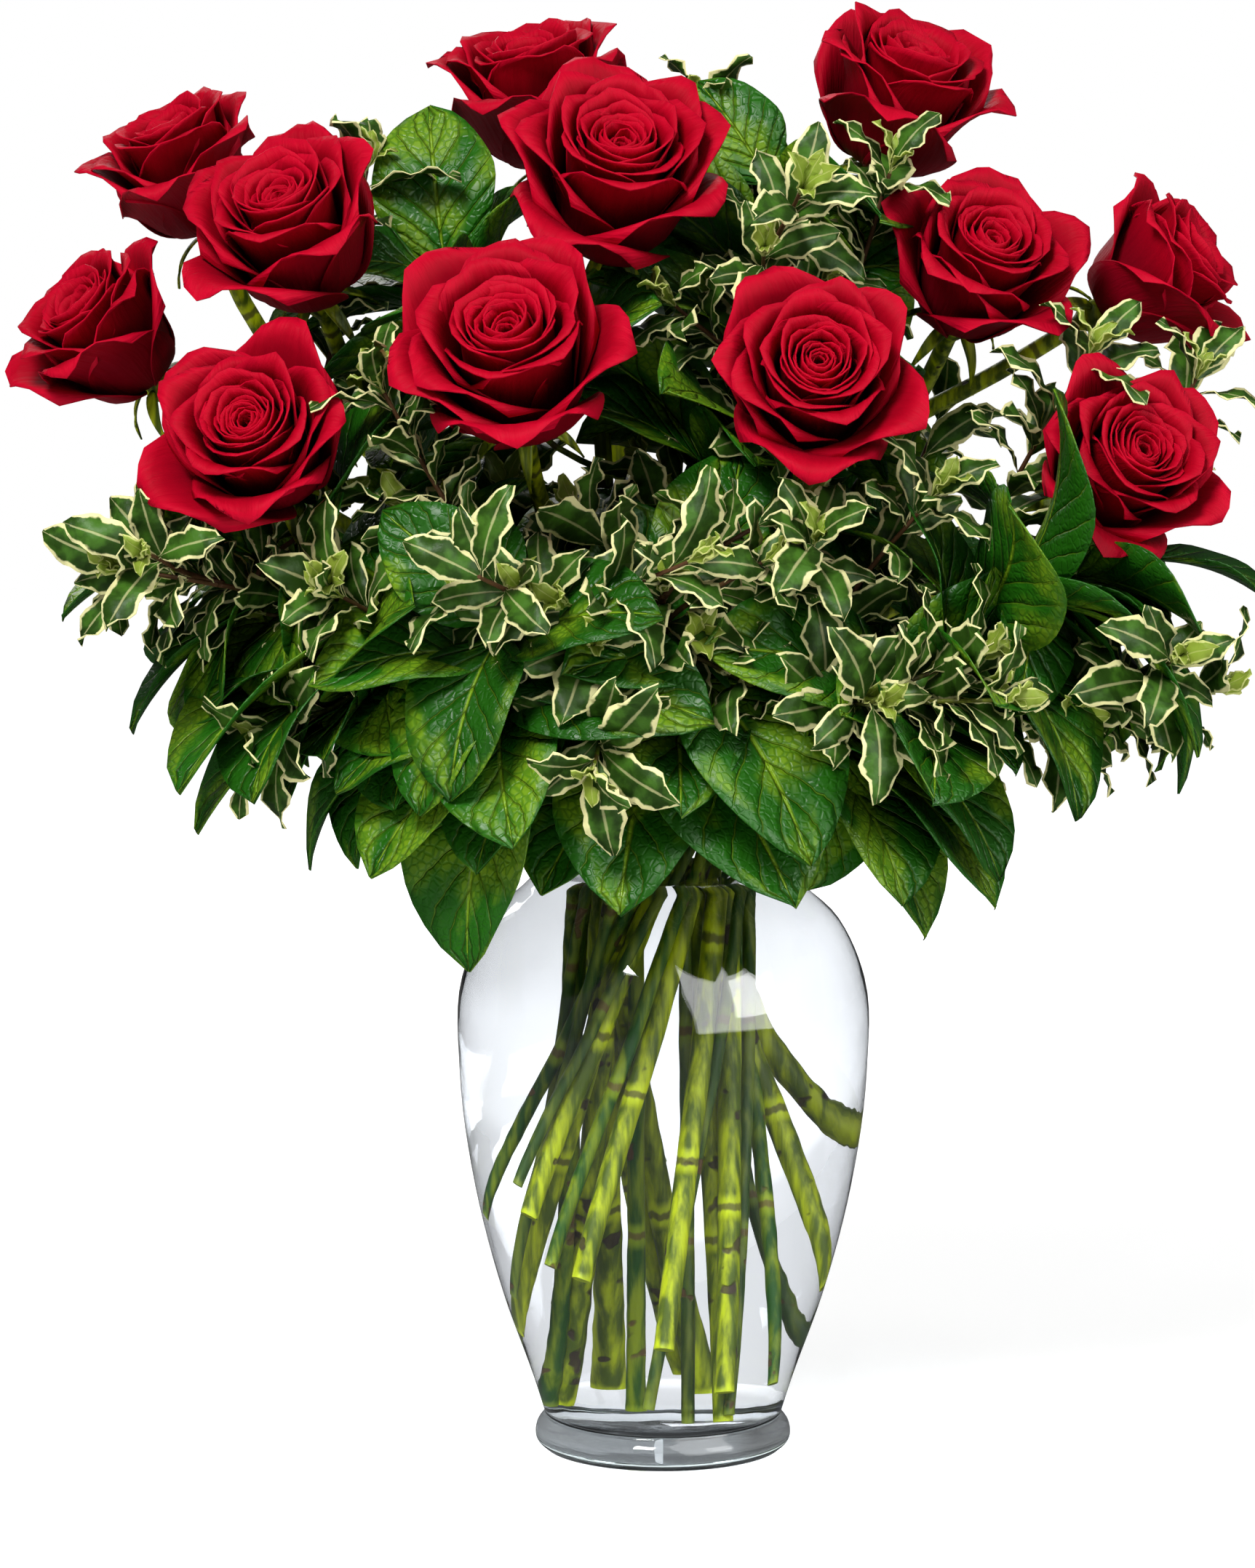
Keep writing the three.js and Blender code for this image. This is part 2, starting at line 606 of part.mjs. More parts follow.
// The closed surface of a bloom about its axis: one ring of corners for each row. The rows that
// fall behind a rim are split into triangles as the rows in front of it are.
function bloomSurface() {
  const rings = [() => [BLOOM_SEAT, 0]];
  const falling = new Set();
  for (const whorl of WHORLS) {
    const line = petalLine(whorl.place);
    const point = PETAL_POINT * Math.max(0, (whorl.place - POINTED_FROM) / (1 - POINTED_FROM));
    const row = (v, side) => (column) => {
      const turned = column + whorl.turn;
      const u = (2 * (turned - Math.floor(turned)) - 1) * whorl.shown;
      const reach = v * (1 - PETAL_ROUND * Math.abs(u) ** 2.4 - point * Math.abs(u) ** 1.1);
      const { distance, height, slope } = line(reach);
      const offset = (side * PETAL_THICKNESS) / 2;
      return [distance + offset * Math.sin(slope) + PETAL_TUCK * u, height - offset * Math.cos(slope)];
    };
    rings.push(...whorl.up.map((v) => row(v, 1)));
    whorl.down.forEach((v) => falling.add(rings.push(row(v, -1)) - 1));
  }
  rings.push(...HEART_OUTLINE.slice(0, -1).map((point) => () => point));
  const columns = [];
  for (let petal = 0; petal < PETALS_AROUND; petal++) {
    columns.push(...COLUMNS_OF_PETAL.map((part) => petal + part));
  }
  return ringed(rings, falling, columns, PETALS_AROUND, [0, HEART_OUTLINE.at(-1)[1]]);
}

// A closed surface about the Z axis from rings, which give a distance and a height at each
// column, between a lowest and a highest point on the axis. The bands that end in a falling
// ring are split along their other diagonals.
function ringed(rings, falling, columns, turns, ends) {
  const corners = [0, 0, ends[0], 0, 0, ends[1]];
  for (const ring of rings) {
    for (const column of columns) {
      const angle = (2 * Math.PI * column) / turns;
      const [distance, height] = ring(column);
      corners.push(distance * Math.cos(angle), distance * Math.sin(angle), height);
    }
  }
  const count = columns.length;
  const faces = [];
  for (let k = 0; k < count; k++) {
    const next = (k + 1) % count;
    faces.push(0, 2 + next, 2 + k);
    const top = 2 + (rings.length - 1) * count;
    faces.push(1, top + k, top + next);
    for (let ring = 0; ring < rings.length - 1; ring++) {
      const [low, high] = [2 + ring * count, 2 + (ring + 1) * count];
      if (falling.has(ring + 1)) faces.push(low + k, low + next, high + k, low + next, high + next, high + k);
      else faces.push(low + k, low + next, high + next, low + k, high + next, high + k);
    }
  }
  return closedGeometry(corners, faces);
}

// The place of a bloom: its Z axis runs from the stem to the middle of the bloom.
function bloomFrame(row) {
  const [turn, raise] = [radians(row.turn), radians(row.raise)];
  const axis = new THREE.Vector3(
    Math.sin(turn) * Math.cos(raise), -Math.cos(turn) * Math.cos(raise), Math.sin(raise),
  );
  const level = new THREE.Vector3(0, 0, 1).cross(axis).normalize();
  const matrix = new THREE.Matrix4().makeBasis(level, axis.clone().cross(level), axis)
    .multiply(new THREE.Matrix4().makeRotationZ(radians(row.spin)))
    .setPosition(...row.base);
  return { axis, matrix };
}

function makeBloom(row) {
  const scale = row.width / FULL_ROSE_WIDTH;
  const place = bloomFrame(row).matrix.clone()
    .multiply(new THREE.Matrix4().makeTranslation(0, 0, BLOOM_GAP))
    .multiply(new THREE.Matrix4().makeScale(scale, scale, scale));
  return solid(bloomSurface()).transform(place.elements);
}

// The swollen top of a rose stem with its pointed sepals turned down.
function makeHip(row) {
  const columns = [];
  for (let k = 0; k < 2 * SEPAL_COUNT; k++) columns.push(k / 2);
  const plain = (point) => () => point;
  const droop = radians(SEPAL_DROOP);
  const [seat, level] = SEPAL_SEAT;
  const skirt = (side) => (column) => {
    const height = level + (side * SEPAL_THICKNESS) / 2;
    if (column % 1) return [seat + SEPAL_NOTCH, height];
    return [SEPAL_LENGTH * Math.cos(droop), height - SEPAL_LENGTH * Math.sin(droop)];
  };
  const rings = [plain(HIP_OUTLINE[1]), skirt(-1), skirt(1), plain(HIP_OUTLINE[2])];
  const surface = ringed(rings, new Set([3]), columns, SEPAL_COUNT, [HIP_OUTLINE[0][1], HIP_OUTLINE[3][1]]);
  return solid(surface).transform(bloomFrame(row).matrix.elements);
}

// The middle surface of a leaf. The leaf runs from its base to its tip, arched, a little folded
// along its rib and waved along its margins, with its upper face towards facing.
function leafMiddle(leaf) {
  const { base, tip, facing, kind } = leaf;
  const length = base.distanceTo(tip);
  const along = tip.clone().sub(base).divideScalar(length);
  const outward = facing.clone().addScaledVector(along, -facing.dot(along)).normalize();
  const across = along.clone().cross(outward);
  return (u, v) => {
    const t = v ** LEAF_ROWS;
    const s = Math.max(0, (t - kind.stalk) / (1 - kind.stalk));
    const half = Math.max(kind.stalkWidth, kind.aspect * length * kind.outline(s));
    const swing = Math.sin(kind.ripples * t + leaf.phase + RIPPLE_SLANT * u);
    const ripple = kind.wave * swing * Math.abs(u) * Math.sqrt(s);
    const rise = kind.arch * length * 4 * t * (1 - t) + kind.fold * Math.abs(u) * half + ripple;
    return base.clone()
      .addScaledVector(along, length * t)
      .addScaledVector(across, u * half)
      .addScaledVector(outward, rise);
  };
}

// Hangs a leaf at its base: the first of a few small turns in which it crosses nothing.
// Leaves of the same node may only meet at their stalks.
function settleLeaf(name, leaf) {
  const length = leaf.base.distanceTo(leaf.tip);
  const along = leaf.tip.clone().sub(leaf.base).normalize();
  const across = along.clone().cross(leaf.facing).normalize();
  const outward = across.clone().cross(along);
  for (let number = 0; number < LEAF_TRIES; number++) {
    const turn = radians(GOLDEN_ANGLE * number);
    const size = LEAF_STEP * Math.sqrt(number);
    const way = along.clone()
      .addScaledVector(across, size * Math.cos(turn))
      .addScaledVector(outward, size * Math.sin(turn))
      .setLength(length);
    const tried = { ...leaf, tip: leaf.base.clone().add(way) };
    const middle = leafMiddle(tried);
    const { grid, thickness } = leaf.kind;
    const roomy = solid(blade(...grid, thickness + 2 * LEAF_CLEARANCE, middle));
    const free = (u, v) => middle(u, LEAF_FREE_FROM + (1 - LEAF_FREE_FROM) * v);
    const roomyBlade = solid(blade(...grid, thickness + 2 * LEAF_CLEARANCE, free));
    if (!isClear(roomy, name) || !isClear(roomyBlade)) continue;
    const body = solid(blade(...grid, thickness, middle));
    occupy(roomyBlade, 'blade');
    occupy(body, name);
    return [body];
  }
  return [];
}

// The way that a leaf at a point looks: outwards from the middle and a little upwards.
function outwardFrom(point) {
  const away = new THREE.Vector3(point.x, point.y, 0).setLength(LEAF_FACING[0]);
  return away.setZ(LEAF_FACING[1]);
}

// A twig leaves the stem and runs through its own points.
function routeTwig(name, stem, row, radius) {
  const start = along(stem.upper, row.from + 1);
  const heading = along(stem.upper, row.from + 1.05).sub(along(stem.upper, row.from + 0.95));
  for (let number = 0; number < STEM_TRIES; number++) {
    const points = row.points.map((point) => vector(point).add(sidestep(number, BOW_STEP, 0)));
    const curve = upperCurve(start.clone().sub(heading), start, points);
    const path = upperPath(curve, points.length);
    const width = path.map((_, k) => radius * (1 - (TWIG_TAPER * k) / (path.length - 1)));
    if (!isClear(roomyBar(path, width, TWIG_SIDES), name)) continue;
    const body = solid(sweep(path, width, TWIG_SIDES));
    occupy(body, name);
    return { upper: path, body };
  }
  throw new Error(`no free way for a twig of ${name}`);
}

function routeLeafyStem(row, radius) {
  const ends = [radius, radius * STEM_TAPER];
  const pointsFor = (foot, waist, bow) => row.points.map((point) => vector(point).add(bow));
  return routeStem(row.name, row, ends, pointsFor);
}

// Salal leaves hang from hand-picked places along their stem.
function salalLeaves(name, stem, leaves) {
  return leaves.flatMap(([place, tip], order) => {
    const base = along(stem.upper, place + 1);
    const end = vector(tip);
    const facing = outwardFrom(base.clone().lerp(end, 0.5));
    return settleLeaf(name, { base, tip: end, facing, phase: order, kind: SALAL_LEAF });
  });
}

// A rosette of pittosporum leaves, crowded on the end of a twig and turned by the golden angle.
function rosette(name, stem, count, seed) {
  const random = seeded(seed);
  const path = stem.upper;
  const last = (path.length - 1) / RINGS_PER_SPAN;
  const end = path.at(-1);
  const axis = end.clone().sub(path.at(-2)).normalize();
  const level = new THREE.Vector3(0, 0, 1).cross(axis).normalize();
  const upright = axis.clone().cross(level);
  const span = end.distanceTo(along(path, last - 1));
  const leaves = [];
  for (let k = 0; k < count; k++) {
    const age = (k + 1) / count;
    const turn = radians(GOLDEN_ANGLE * k + spread(random, 15));
    const tilt = radians(ROSETTE_TILT + ROSETTE_SPREAD * age + spread(random, 8));
    const length = ROSETTE_LEAF * (0.66 + 0.34 * age) * (1 + spread(random, 0.08));
    const phase = 6 * random();
    const base = along(path, last - (ROSETTE_SPACING * k) / span);
    const way = axis.clone().multiplyScalar(Math.cos(tilt))
      .addScaledVector(level, Math.sin(tilt) * Math.cos(turn))
      .addScaledVector(upright, Math.sin(tilt) * Math.sin(turn));
    const tip = base.clone().addScaledVector(way, length);
    leaves.push(...settleLeaf(name, { base, tip, facing: axis, phase, kind: PITTOSPORUM_LEAF }));
  }
  return leaves;
}

makeVase();

const blooms = ROSES.map(makeBloom);
const hips = ROSES.map(makeHip);
ROSES.forEach((row, k) => {
  occupy(blooms[k], 'bloom');
  occupy(hips[k], nameOf(k));
});

const roseStems = ROSES.map((row, k) => {
  const { axis } = bloomFrame(row);
  const end = vector(row.base).addScaledVector(axis, -HIP_JOINT);
  const before = end.clone().addScaledVector(axis, -STRAIGHT_TOP);
  const pointsFor = (foot, waist, bow) => {
    const reach = before.distanceTo(waist) / 2;
    const rising = waist.clone().add(waist.clone().sub(foot).setLength(reach));
    const middle = before.clone().addScaledVector(axis, -reach).add(rising).multiplyScalar(0.5);
    return [middle.add(bow), before, end];
  };
  return routeStem(nameOf(k), row, [ROSE_STEM_FOOT, ROSE_STEM_TOP], pointsFor);
});

const salal = SALAL.map((row) => ({ row, stem: routeLeafyStem(row, SALAL_STEM) }));
const pittosporum = PITTOSPORUM.map((row) => ({ row, stem: routeLeafyStem(row, PITTOSPORUM_STEM) }));
for (const plant of salal) {
  plant.twigs = plant.row.twigs.map((twig) => routeTwig(plant.row.name, plant.stem, twig, SALAL_TWIG));
}
for (const plant of pittosporum) {
  plant.twigs = plant.row.twigs.map((twig) => routeTwig(plant.row.name, plant.stem, twig, PITTOSPORUM_TWIG));
}

makeWater([...roseStems, ...salal.map((plant) => plant.stem), ...pittosporum.map((plant) => plant.stem)]);

ROSES.forEach((row, k) => {
  addNode(`rose_${twoDigits(k + 1)}_bloom`, blooms[k], PETAL_RED);
  addNode(nameOf(k), fused([roseStems[k].body, hips[k]]), ROSE_GREEN);
});

for (const { row, stem, twigs } of salal) {
  const leaves = salalLeaves(row.name, stem, row.leaves);
  const twigLeaves = row.twigs.flatMap((twig, k) => salalLeaves(row.name, twigs[k], twig.leaves));
  const bars = [stem, ...twigs].map((bar) => bar.body);
  addNode(row.name, fused([...bars, ...leaves, ...twigLeaves]), SALAL_GREEN);
}

pittosporum.forEach(({ row, stem, twigs }, order) => {
  const seed = 10 * order + 1;
  const leaves = rosette(row.name, stem, row.leaves, seed);
  const twigLeaves = row.twigs.flatMap((twig, k) => rosette(row.name, twigs[k], twig.leaves, seed + k + 1));
  const bars = [stem, ...twigs].map((bar) => bar.body);
  addNode(row.name, fused([...bars, ...leaves, ...twigLeaves]), PITTOSPORUM_GREEN);
});

export default arrangement;
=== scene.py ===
"""Roses, salal and variegated pittosporum in a clear glass vase, dressed around its CAD frame."""
import math

import bpy
from bpy.props import FloatProperty, FloatVectorProperty, IntProperty, PointerProperty
from bpy.types import Operator, Panel, PropertyGroup
from mathutils import Matrix, Vector
from mathutils.bvhtree import BVHTree
from mathutils.kdtree import KDTree


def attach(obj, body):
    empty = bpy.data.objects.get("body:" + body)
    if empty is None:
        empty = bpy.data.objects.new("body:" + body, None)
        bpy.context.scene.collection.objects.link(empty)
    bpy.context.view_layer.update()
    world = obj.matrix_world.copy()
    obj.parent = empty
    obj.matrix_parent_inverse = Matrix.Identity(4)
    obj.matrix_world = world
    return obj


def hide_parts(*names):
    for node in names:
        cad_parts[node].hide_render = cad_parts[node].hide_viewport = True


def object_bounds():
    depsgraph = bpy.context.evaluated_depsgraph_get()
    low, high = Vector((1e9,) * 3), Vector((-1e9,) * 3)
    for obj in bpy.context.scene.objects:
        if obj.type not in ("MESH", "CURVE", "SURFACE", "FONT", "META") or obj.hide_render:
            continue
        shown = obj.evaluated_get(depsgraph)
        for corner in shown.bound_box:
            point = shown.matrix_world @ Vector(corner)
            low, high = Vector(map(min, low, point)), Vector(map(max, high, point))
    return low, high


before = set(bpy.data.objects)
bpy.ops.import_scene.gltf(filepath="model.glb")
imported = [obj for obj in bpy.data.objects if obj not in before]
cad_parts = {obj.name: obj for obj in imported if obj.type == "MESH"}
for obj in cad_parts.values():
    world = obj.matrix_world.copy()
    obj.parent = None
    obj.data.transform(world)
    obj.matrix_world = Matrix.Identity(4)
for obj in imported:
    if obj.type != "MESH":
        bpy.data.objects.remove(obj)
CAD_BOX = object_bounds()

bl_info = {
    "name": "Roses in a vase",
    "version": (1, 0, 0),
    "blender": (4, 5, 0),
    "location": "3D View > Sidebar > Roses",
    "description": "Builds a dozen roses with greens in a glass vase of water",
    "category": "Add Mesh",
}

# Tables are in millimetres, and meshes in metres.
MM = 0.001
RADIAN = math.pi / 180
WELD = 1e-6
BODY = "root"

# The vase: radius and height of its outline, as the solid has it.
FOOT_OUTLINE = [(0, 0), (47, 0), (50, 3), (50, 8), (46.6, 13)]
WALL_OUTLINE = [(51, 27), (63, 61), (74, 104), (80, 150), (79, 186), (69, 209), (50, 228), (43, 245)]
LIP_OUTLINE = [(45.5, 254), (50, 261), (51.5, 263.5)]
WALL_THICKNESS = 3
FLOOR_TOP = 11
FLOOR_RADIUS = 37
NECK_HEIGHT = 245
# How far in and down the rounded top of the lip goes, and how much thinner the wall is under it.
LIP_EDGE = [(0.9, 0), (WALL_THICKNESS, 0.4)]
LIP_THINNING = 0.6
WATER_LEVEL = 226
WATER_OVERLAP = 0.15
# The water climbs the wall at its edge: over this width, by this height.
WATER_EDGE = (3, 1.2)
OUTLINE_STEPS = 6

# Petals from the heart (place 0) to the outermost (place 1), as the solids have them.
PETAL_PLACE = (0, 0.2, 0.4, 0.62, 0.8, 0.9, 1)
PETAL_SHAPE = {
    "base_slope": (62, 54, 46, 38, 30, 24, 16),
    "middle_slope": (92, 92, 90, 88, 84, 78, 68),
    "rim_slope": (101, 99, 94, 86, 74, 62, 44),
    "curl": (0, 4, 16, 40, 74, 92, 100),
    "petal_length": (38, 42, 46, 50, 53, 55, 56),
    "half_width": (13, 17, 21, 26, 29, 31, 32),
    "flatness": (1, 1, 1, 1.05, 1.1, 1.15, 1.2),
}
# How much a petal's turn and slopes vary, in degrees, and how much more in the outermost petals.
PETAL_PLAY = {"turn": (6, 3), "middle_slope": (3, 0), "rim_slope": (0, 6), "curl": (0, 18)}
LENGTH_PLAY = 0.04
PETAL_ROOT = 2
PETAL_ROOT_GROWTH = 3
PETAL_MIDDLE = 0.38
PETAL_RIM = 0.8
PETAL_ROUND = 0.13
PETAL_POINT = 0.26
POINTED_FROM = 0.55
# Along a petal: its width at the root, where it is full, and where and how much it narrows.
ROOT_WIDTH = 0.22
FULL_FROM = 0.62
NARROWED_FROM = 0.72
NARROWED_BY = 0.22
# Across a petal: from where its sides roll back, how far one tucks under, and its ruffles.
ROLLED_FROM = 0.45
ROLLED = (0.5, 8.5)
TUCK = 0.9
RUFFLES = (5, 11)
# The tightest that a petal wraps round the axis, in millimetres, and the furthest, in radians.
LEAST_WRAP = 2.5
MOST_BEND = 2.4
# The outermost petals stand in an even ring, each turned by this from the last.
OUTER_PETALS = 5
OUTER_TURN = 144
GOLDEN_ANGLE = 137.5
# The width that the petals above count as. The solids count them as wider, so their blooms are smaller.
FULL_ROSE_WIDTH = 67.5
BLOOM_GAP = 0.3
# Under a bloom: the stem's end and its straight top, and the hip's heights and radii.
HIP_JOINT = 10
STRAIGHT_TOP = 24
HIP_SWELLING = [(-11, 3.6), (-9, 4.8), (-7, 5.8), (-5, 6.1), (-3, 5.9), (-1, 5.2), (0, 4.6)]
HIP_OVERLAP = 1
SEPAL_COUNT = 5
SEPAL_LINE = [(5, 0, -2.5), (21.3, 0, -19), (60, 0, 80)]

# Each rose: base of its bloom, turn and raise of its look, width, spin, waist and foot.
ROSES = [
    ((-200, 16, 420), -53, 41, 72, 10, (22, 131), (70, 112)),
    ((-179, 44, 479), -45, 60, 72, 80, (22, 98), (60, 66)),
    ((-133, -19, 453), -23, 49, 80, 35, (22, 164), (40, 24)),
    ((-144, -56, 382), -16, 32, 77, 0, (33, 158), (50, 34)),
    ((-46, 68, 505), -27, 70, 78, 50, (22, 66), (36, 16)),
    ((-21, -7, 473), 8, 45, 88, 20, (22, 229), (36, 16)),
    ((-53, -71, 406), -8, 41, 89, 62, (22, 197), (40, 26)),
    ((54, -62, 406), 3, 28, 79, 40, (22, 262), (55, 48)),
    ((85, 52, 505), 34, 57, 80, 15, (22, 33), (40, 30)),
    ((114, 3, 444), 20, 41, 76, 70, (22, 328), (62, 77)),
    ((173, 32, 447), 72, 31, 72, 5, (22, 0), (55, 50)),
    ((163, -29, 374), 24, 27, 76, 28, (22, 295), (70, 100)),
]

# How stems, twigs and leaves were moved aside to find a free place, as in the solids.
WAIST_STEP = 1.5
FOOT_SLIDES = 11
FOOT_SLIDE = 7
SPIRAL_TURN = 90
BOW_STEP = 1.6
BOW_TURN = 200
STEM_STEPS = 150
TWIG_TRIES = 1650
RINGS_PER_SPAN = 2
STEM_SIDES = 5
TWIG_SIDES = 4
SLANT = 1.3
WALL_ROOM = 2.2
LIP_FLARE = 0.3
# The share of its radius that a bar keeps at its end.
STEM_TAPER = 0.6
TWIG_TAPER = 0.65
LEAF_STEP = 0.07
LEAF_TRIES = 30
# How much a leaf looks away from the middle, and how much up.
LEAF_FACING = (0.8, 0.6)
RIPPLE_SLANT = 1.4
# How near a corner of the solids counts as found, in millimetres, and the share that is enough.
NEAR = 0.06
ENOUGH_FOUND = 0.6
STRAIGHT_STEPS = 12
FINE_STEPS = 8

# The radii of a rose's stem at its foot and top.
ROSE_RADII = (3.8, 3.3)


def plant(waist, foot, points, leaves, twigs=()):
    """One branch: where it crosses the neck and ends, its points above, leaves and side twigs."""
    return {"waist": waist, "foot": foot, "points": points, "leaves": leaves, "twigs": twigs}


def twig(start, points, leaves):
    return {"from": start, "points": points, "leaves": leaves}


# Salal leaves are a place along the branch and the tip.
SALAL = {
    "salal_front_left": plant(
        (33, 222), (38, 16), [(-44, -50, 282), (-62, -76, 300), (-60, -94, 330)],
        [(0.5, (-73, -86, 200)), (1, (-122, -92, 268)), (1.6, (-90, -118, 262)),
         (2, (-78, -128, 268)), (2, (-104, -96, 372))],
        [twig(0.3, [(-92, -38, 292), (-124, -56, 314)],
              [(0, (-116, -62, 236)), (0.5, (-142, -74, 262)), (1, (-172, -66, 296)),
               (1, (-140, -90, 350))])]),
    "salal_front": plant(
        (33, 276), (70, 94), [(-4, -48, 280), (10, -78, 312)],
        [(0, (-46, -96, 230)), (0.15, (-16, -100, 208)), (0.4, (30, -98, 206)),
         (1, (56, -116, 240)), (1, (-34, -128, 318))]),
    "salal_right": plant(
        (33, 316), (66, 81), [(44, -40, 280), (84, -74, 300), (126, -62, 340), (170, -34, 350)],
        [(0, (88, -96, 226)), (0.2, (124, -72, 222)), (1, (128, -108, 276)), (1.1, (120, -98, 352)),
         (1.6, (152, -98, 258)), (2, (116, -98, 300)), (2.2, (194, -66, 326)), (3, (236, -36, 330))]),
    "salal_left": plant(
        (33, 181), (72, 112), [(-60, -22, 290), (-110, -26, 330), (-160, -28, 352)],
        [(0.2, (-100, -100, 262)), (0.7, (-180, -96, 268)), (1.4, (-212, -40, 300)),
         (1.8, (-196, -66, 368)), (2, (-226, -62, 330))]),
    "salal_top": plant(
        (9, 200), (20, 16), [(4, 8, 310), (20, 6, 380), (40, 14, 440), (44, 32, 492)],
        [(1, (-42, -20, 410)), (1.6, (76, 30, 420)), (2.2, (104, 4, 462)), (3, (14, 40, 536))],
        [twig(0.6, [(-50, 14, 400), (-84, 10, 456)],
              [(0.4, (-104, 12, 398)), (1, (-128, -14, 470)), (1, (-94, 22, 528))])]),
    "salal_back": plant(
        (33, 64), (45, 30), [(10, 46, 284), (40, 82, 316), (84, 96, 340)],
        [(0, (-12, 108, 226)), (0.3, (52, 108, 222)), (1, (104, 128, 280)), (2, (150, 118, 326)),
         (2, (92, 110, 416))],
        [twig(0.3, [(-46, 64, 306), (-96, 74, 344)],
              [(0, (-78, 94, 236)), (0.5, (-122, 92, 280)), (1, (-168, 92, 326)),
               (1, (-92, 96, 416))])]),
}

# Pittosporum leaves are a count for the rosette on each end.
PITTOSPORUM = {
    "pittosporum_front_left": plant(
        (33, 240), (45, 40), [(-34, -56, 300), (-59, -112, 340)], 7,
        [twig(0.3, [(-84, -66, 320), (-119, -90, 340)], 4),
         twig(0.5, [(-80, -70, 372), (-104, -80, 415)], 4)]),
    "pittosporum_front": plant(
        (33, 258), (60, 64), [(-2, -60, 300), (-4, -110, 342)], 7,
        [twig(0.5, [(-20, -104, 300), (-26, -132, 282)], 4)]),
    "pittosporum_front_right": plant(
        (33, 293), (72, 112), [(40, -66, 290), (69, -118, 304)], 7,
        [twig(0.3, [(44, -76, 330), (54, -106, 360)], 4),
         twig(0.3, [(70, -70, 340), (97, -92, 376)], 4)]),
    "pittosporum_left": plant(
        (33, 202), (60, 60), [(-76, -34, 310), (-140, -44, 336), (-178, -54, 346)], 4,
        [twig(0.4, [(-120, -58, 300), (-146, -78, 290)], 4),
         twig(1, [(-128, 0, 430), (-114, 4, 500)], 4)]),
    "pittosporum_right": plant(
        (33, 345), (40, 24), [(76, -26, 284), (134, -40, 290), (172, -48, 298)], 4,
        [twig(0.6, [(130, -20, 370), (160, -44, 428)], 4),
         twig(1, [(176, 0, 360), (204, -18, 420)], 4)]),
    "pittosporum_top": plant(
        (9, 20), (24, 16), [(20, -10, 330), (34, -22, 410), (41, -38, 468)], 4,
        [twig(1, [(70, 0, 450), (86, -20, 498)], 4),
         twig(1, [(20, 40, 450), (16, 56, 524)], 4)]),
    "pittosporum_back_left": plant(
        (33, 96), (50, 31), [(-34, 54, 296), (-62, 100, 346)], 5,
        [twig(0.3, [(-90, 50, 360), (-122, 62, 404)], 4)]),
    "pittosporum_back_right": plant(
        (33, 38), (38, 20), [(36, 60, 286), (44, 116, 316)], 5,
        [twig(0.4, [(86, 60, 350), (112, 72, 404)], 4)]),
}
# The rosettes: tilts and lengths of the youngest leaf and what age adds, the play, and the spacing.
ROSETTE = {
    "tilt": (22, 58), "tilt_play": 8, "turn_play": 15, "leaf": 40, "share": (0.66, 0.34),
    "share_play": 0.08, "spacing": 4,
}

# The inputs of a leaf's shape, for salal, for pittosporum and for the sepals.
LEAF_INPUTS = {
    "Columns": (5, 3, 5),
    "Rows": (15, 13, 12),
    "Stalk": (0.1, 0.08, 0.0),
    "Stalk width": (0.7, 0.6, 0.5),
    "Aspect": (0.33, 0.21, 0.13),
    "Thickness": (0.5, 0.4, 0.7),
    "Arch": (0.12, 0.12, 0.12),
    "Fold": (0.14, 0.1, 0.2),
    "Wave": (1.5, 2.4, 0.4),
    "Ripples": (11.0, 17.0, 8.0),
    "Scallop": (0.02, 0.09, 0.0),
    "Fullness": (2.357, 2.82, 1.9),
    "Base power": (0.55, 0.8, 0.3),
    "Tip power": (0.7, 0.7, 1.1),
    "Cup": (0.12, 0.0, 0.0),
    "Full length": (60.0, 30.0, 20.0),
}
SALAL_LEAF, PITTOSPORUM_LEAF, SEPAL_LEAF = (
    dict(zip(LEAF_INPUTS, column)) for column in zip(*LEAF_INPUTS.values()))
# What the leaves of the solids have instead.
SALAL_SOLID = {"thickness": 0.8, "edge": 0.7, "fold": 0.16, "wave": 0.8, "ripples": 9}
PITTOSPORUM_SOLID = {"thickness": 0.7, "edge": 0.6, "fold": 0.12, "wave": 1.5, "ripples": 16}
# The two kinds of green: the radii of stems and twigs, the leaf, the slot and what the stalks are called.
SALAL_KIND = {"radii": (2.6, 1.5), "leaf": SALAL_LEAF, "slot": "salal_leaf", "stalks": "stalks"}
PITTOSPORUM_KIND = {
    "radii": (2.3, 1.2), "leaf": PITTOSPORUM_LEAF, "slot": "pittosporum_leaf", "stalks": "twigs",
}
# Where along a leaf its middle counts as, and the range of phases that its ripples start from.
LEAF_MIDDLE = 0.55
RIPPLE_START = 6

# How more leaves grow along the stems and twigs of the solids: from which place, how far apart,
# their lean from the stem, their length, how much they hang, and the room round each.
MORE_SALAL = {
    "from": 0.9, "every": 4.5, "tilt": (45, 95), "size": (64, 94), "hang": 0.45, "apart": 12.5,
    "tries": 9, "width": 0.33, "clear": 8, "facing": 0.75,
}
MORE_PITTOSPORUM = {
    "from": 0.25, "every": 6, "tilt": (42, 78), "size": (27, 41), "hang": 0.15, "apart": 12,
    "tries": 3, "width": 0.2, "clear": 3, "facing": 0.2,
}
# The new growth on the end of a twig: leaves, their length and the angle they stand out at.
NEW_GROWTH = {"count": 4, "size": (11, 22), "tilt": (14, 44)}
# The tones of grown leaves. Lower ones are new growth, which is yellow-green.
GROWN = (0.2, 1.0)
# How far short of the solids' box further leaves end along X, Y and Z, in millimetres.
INSET = (13, 0, 0)
# How far behind a leaf a bloom may be that it would hide, in millimetres.
BEHIND = 220
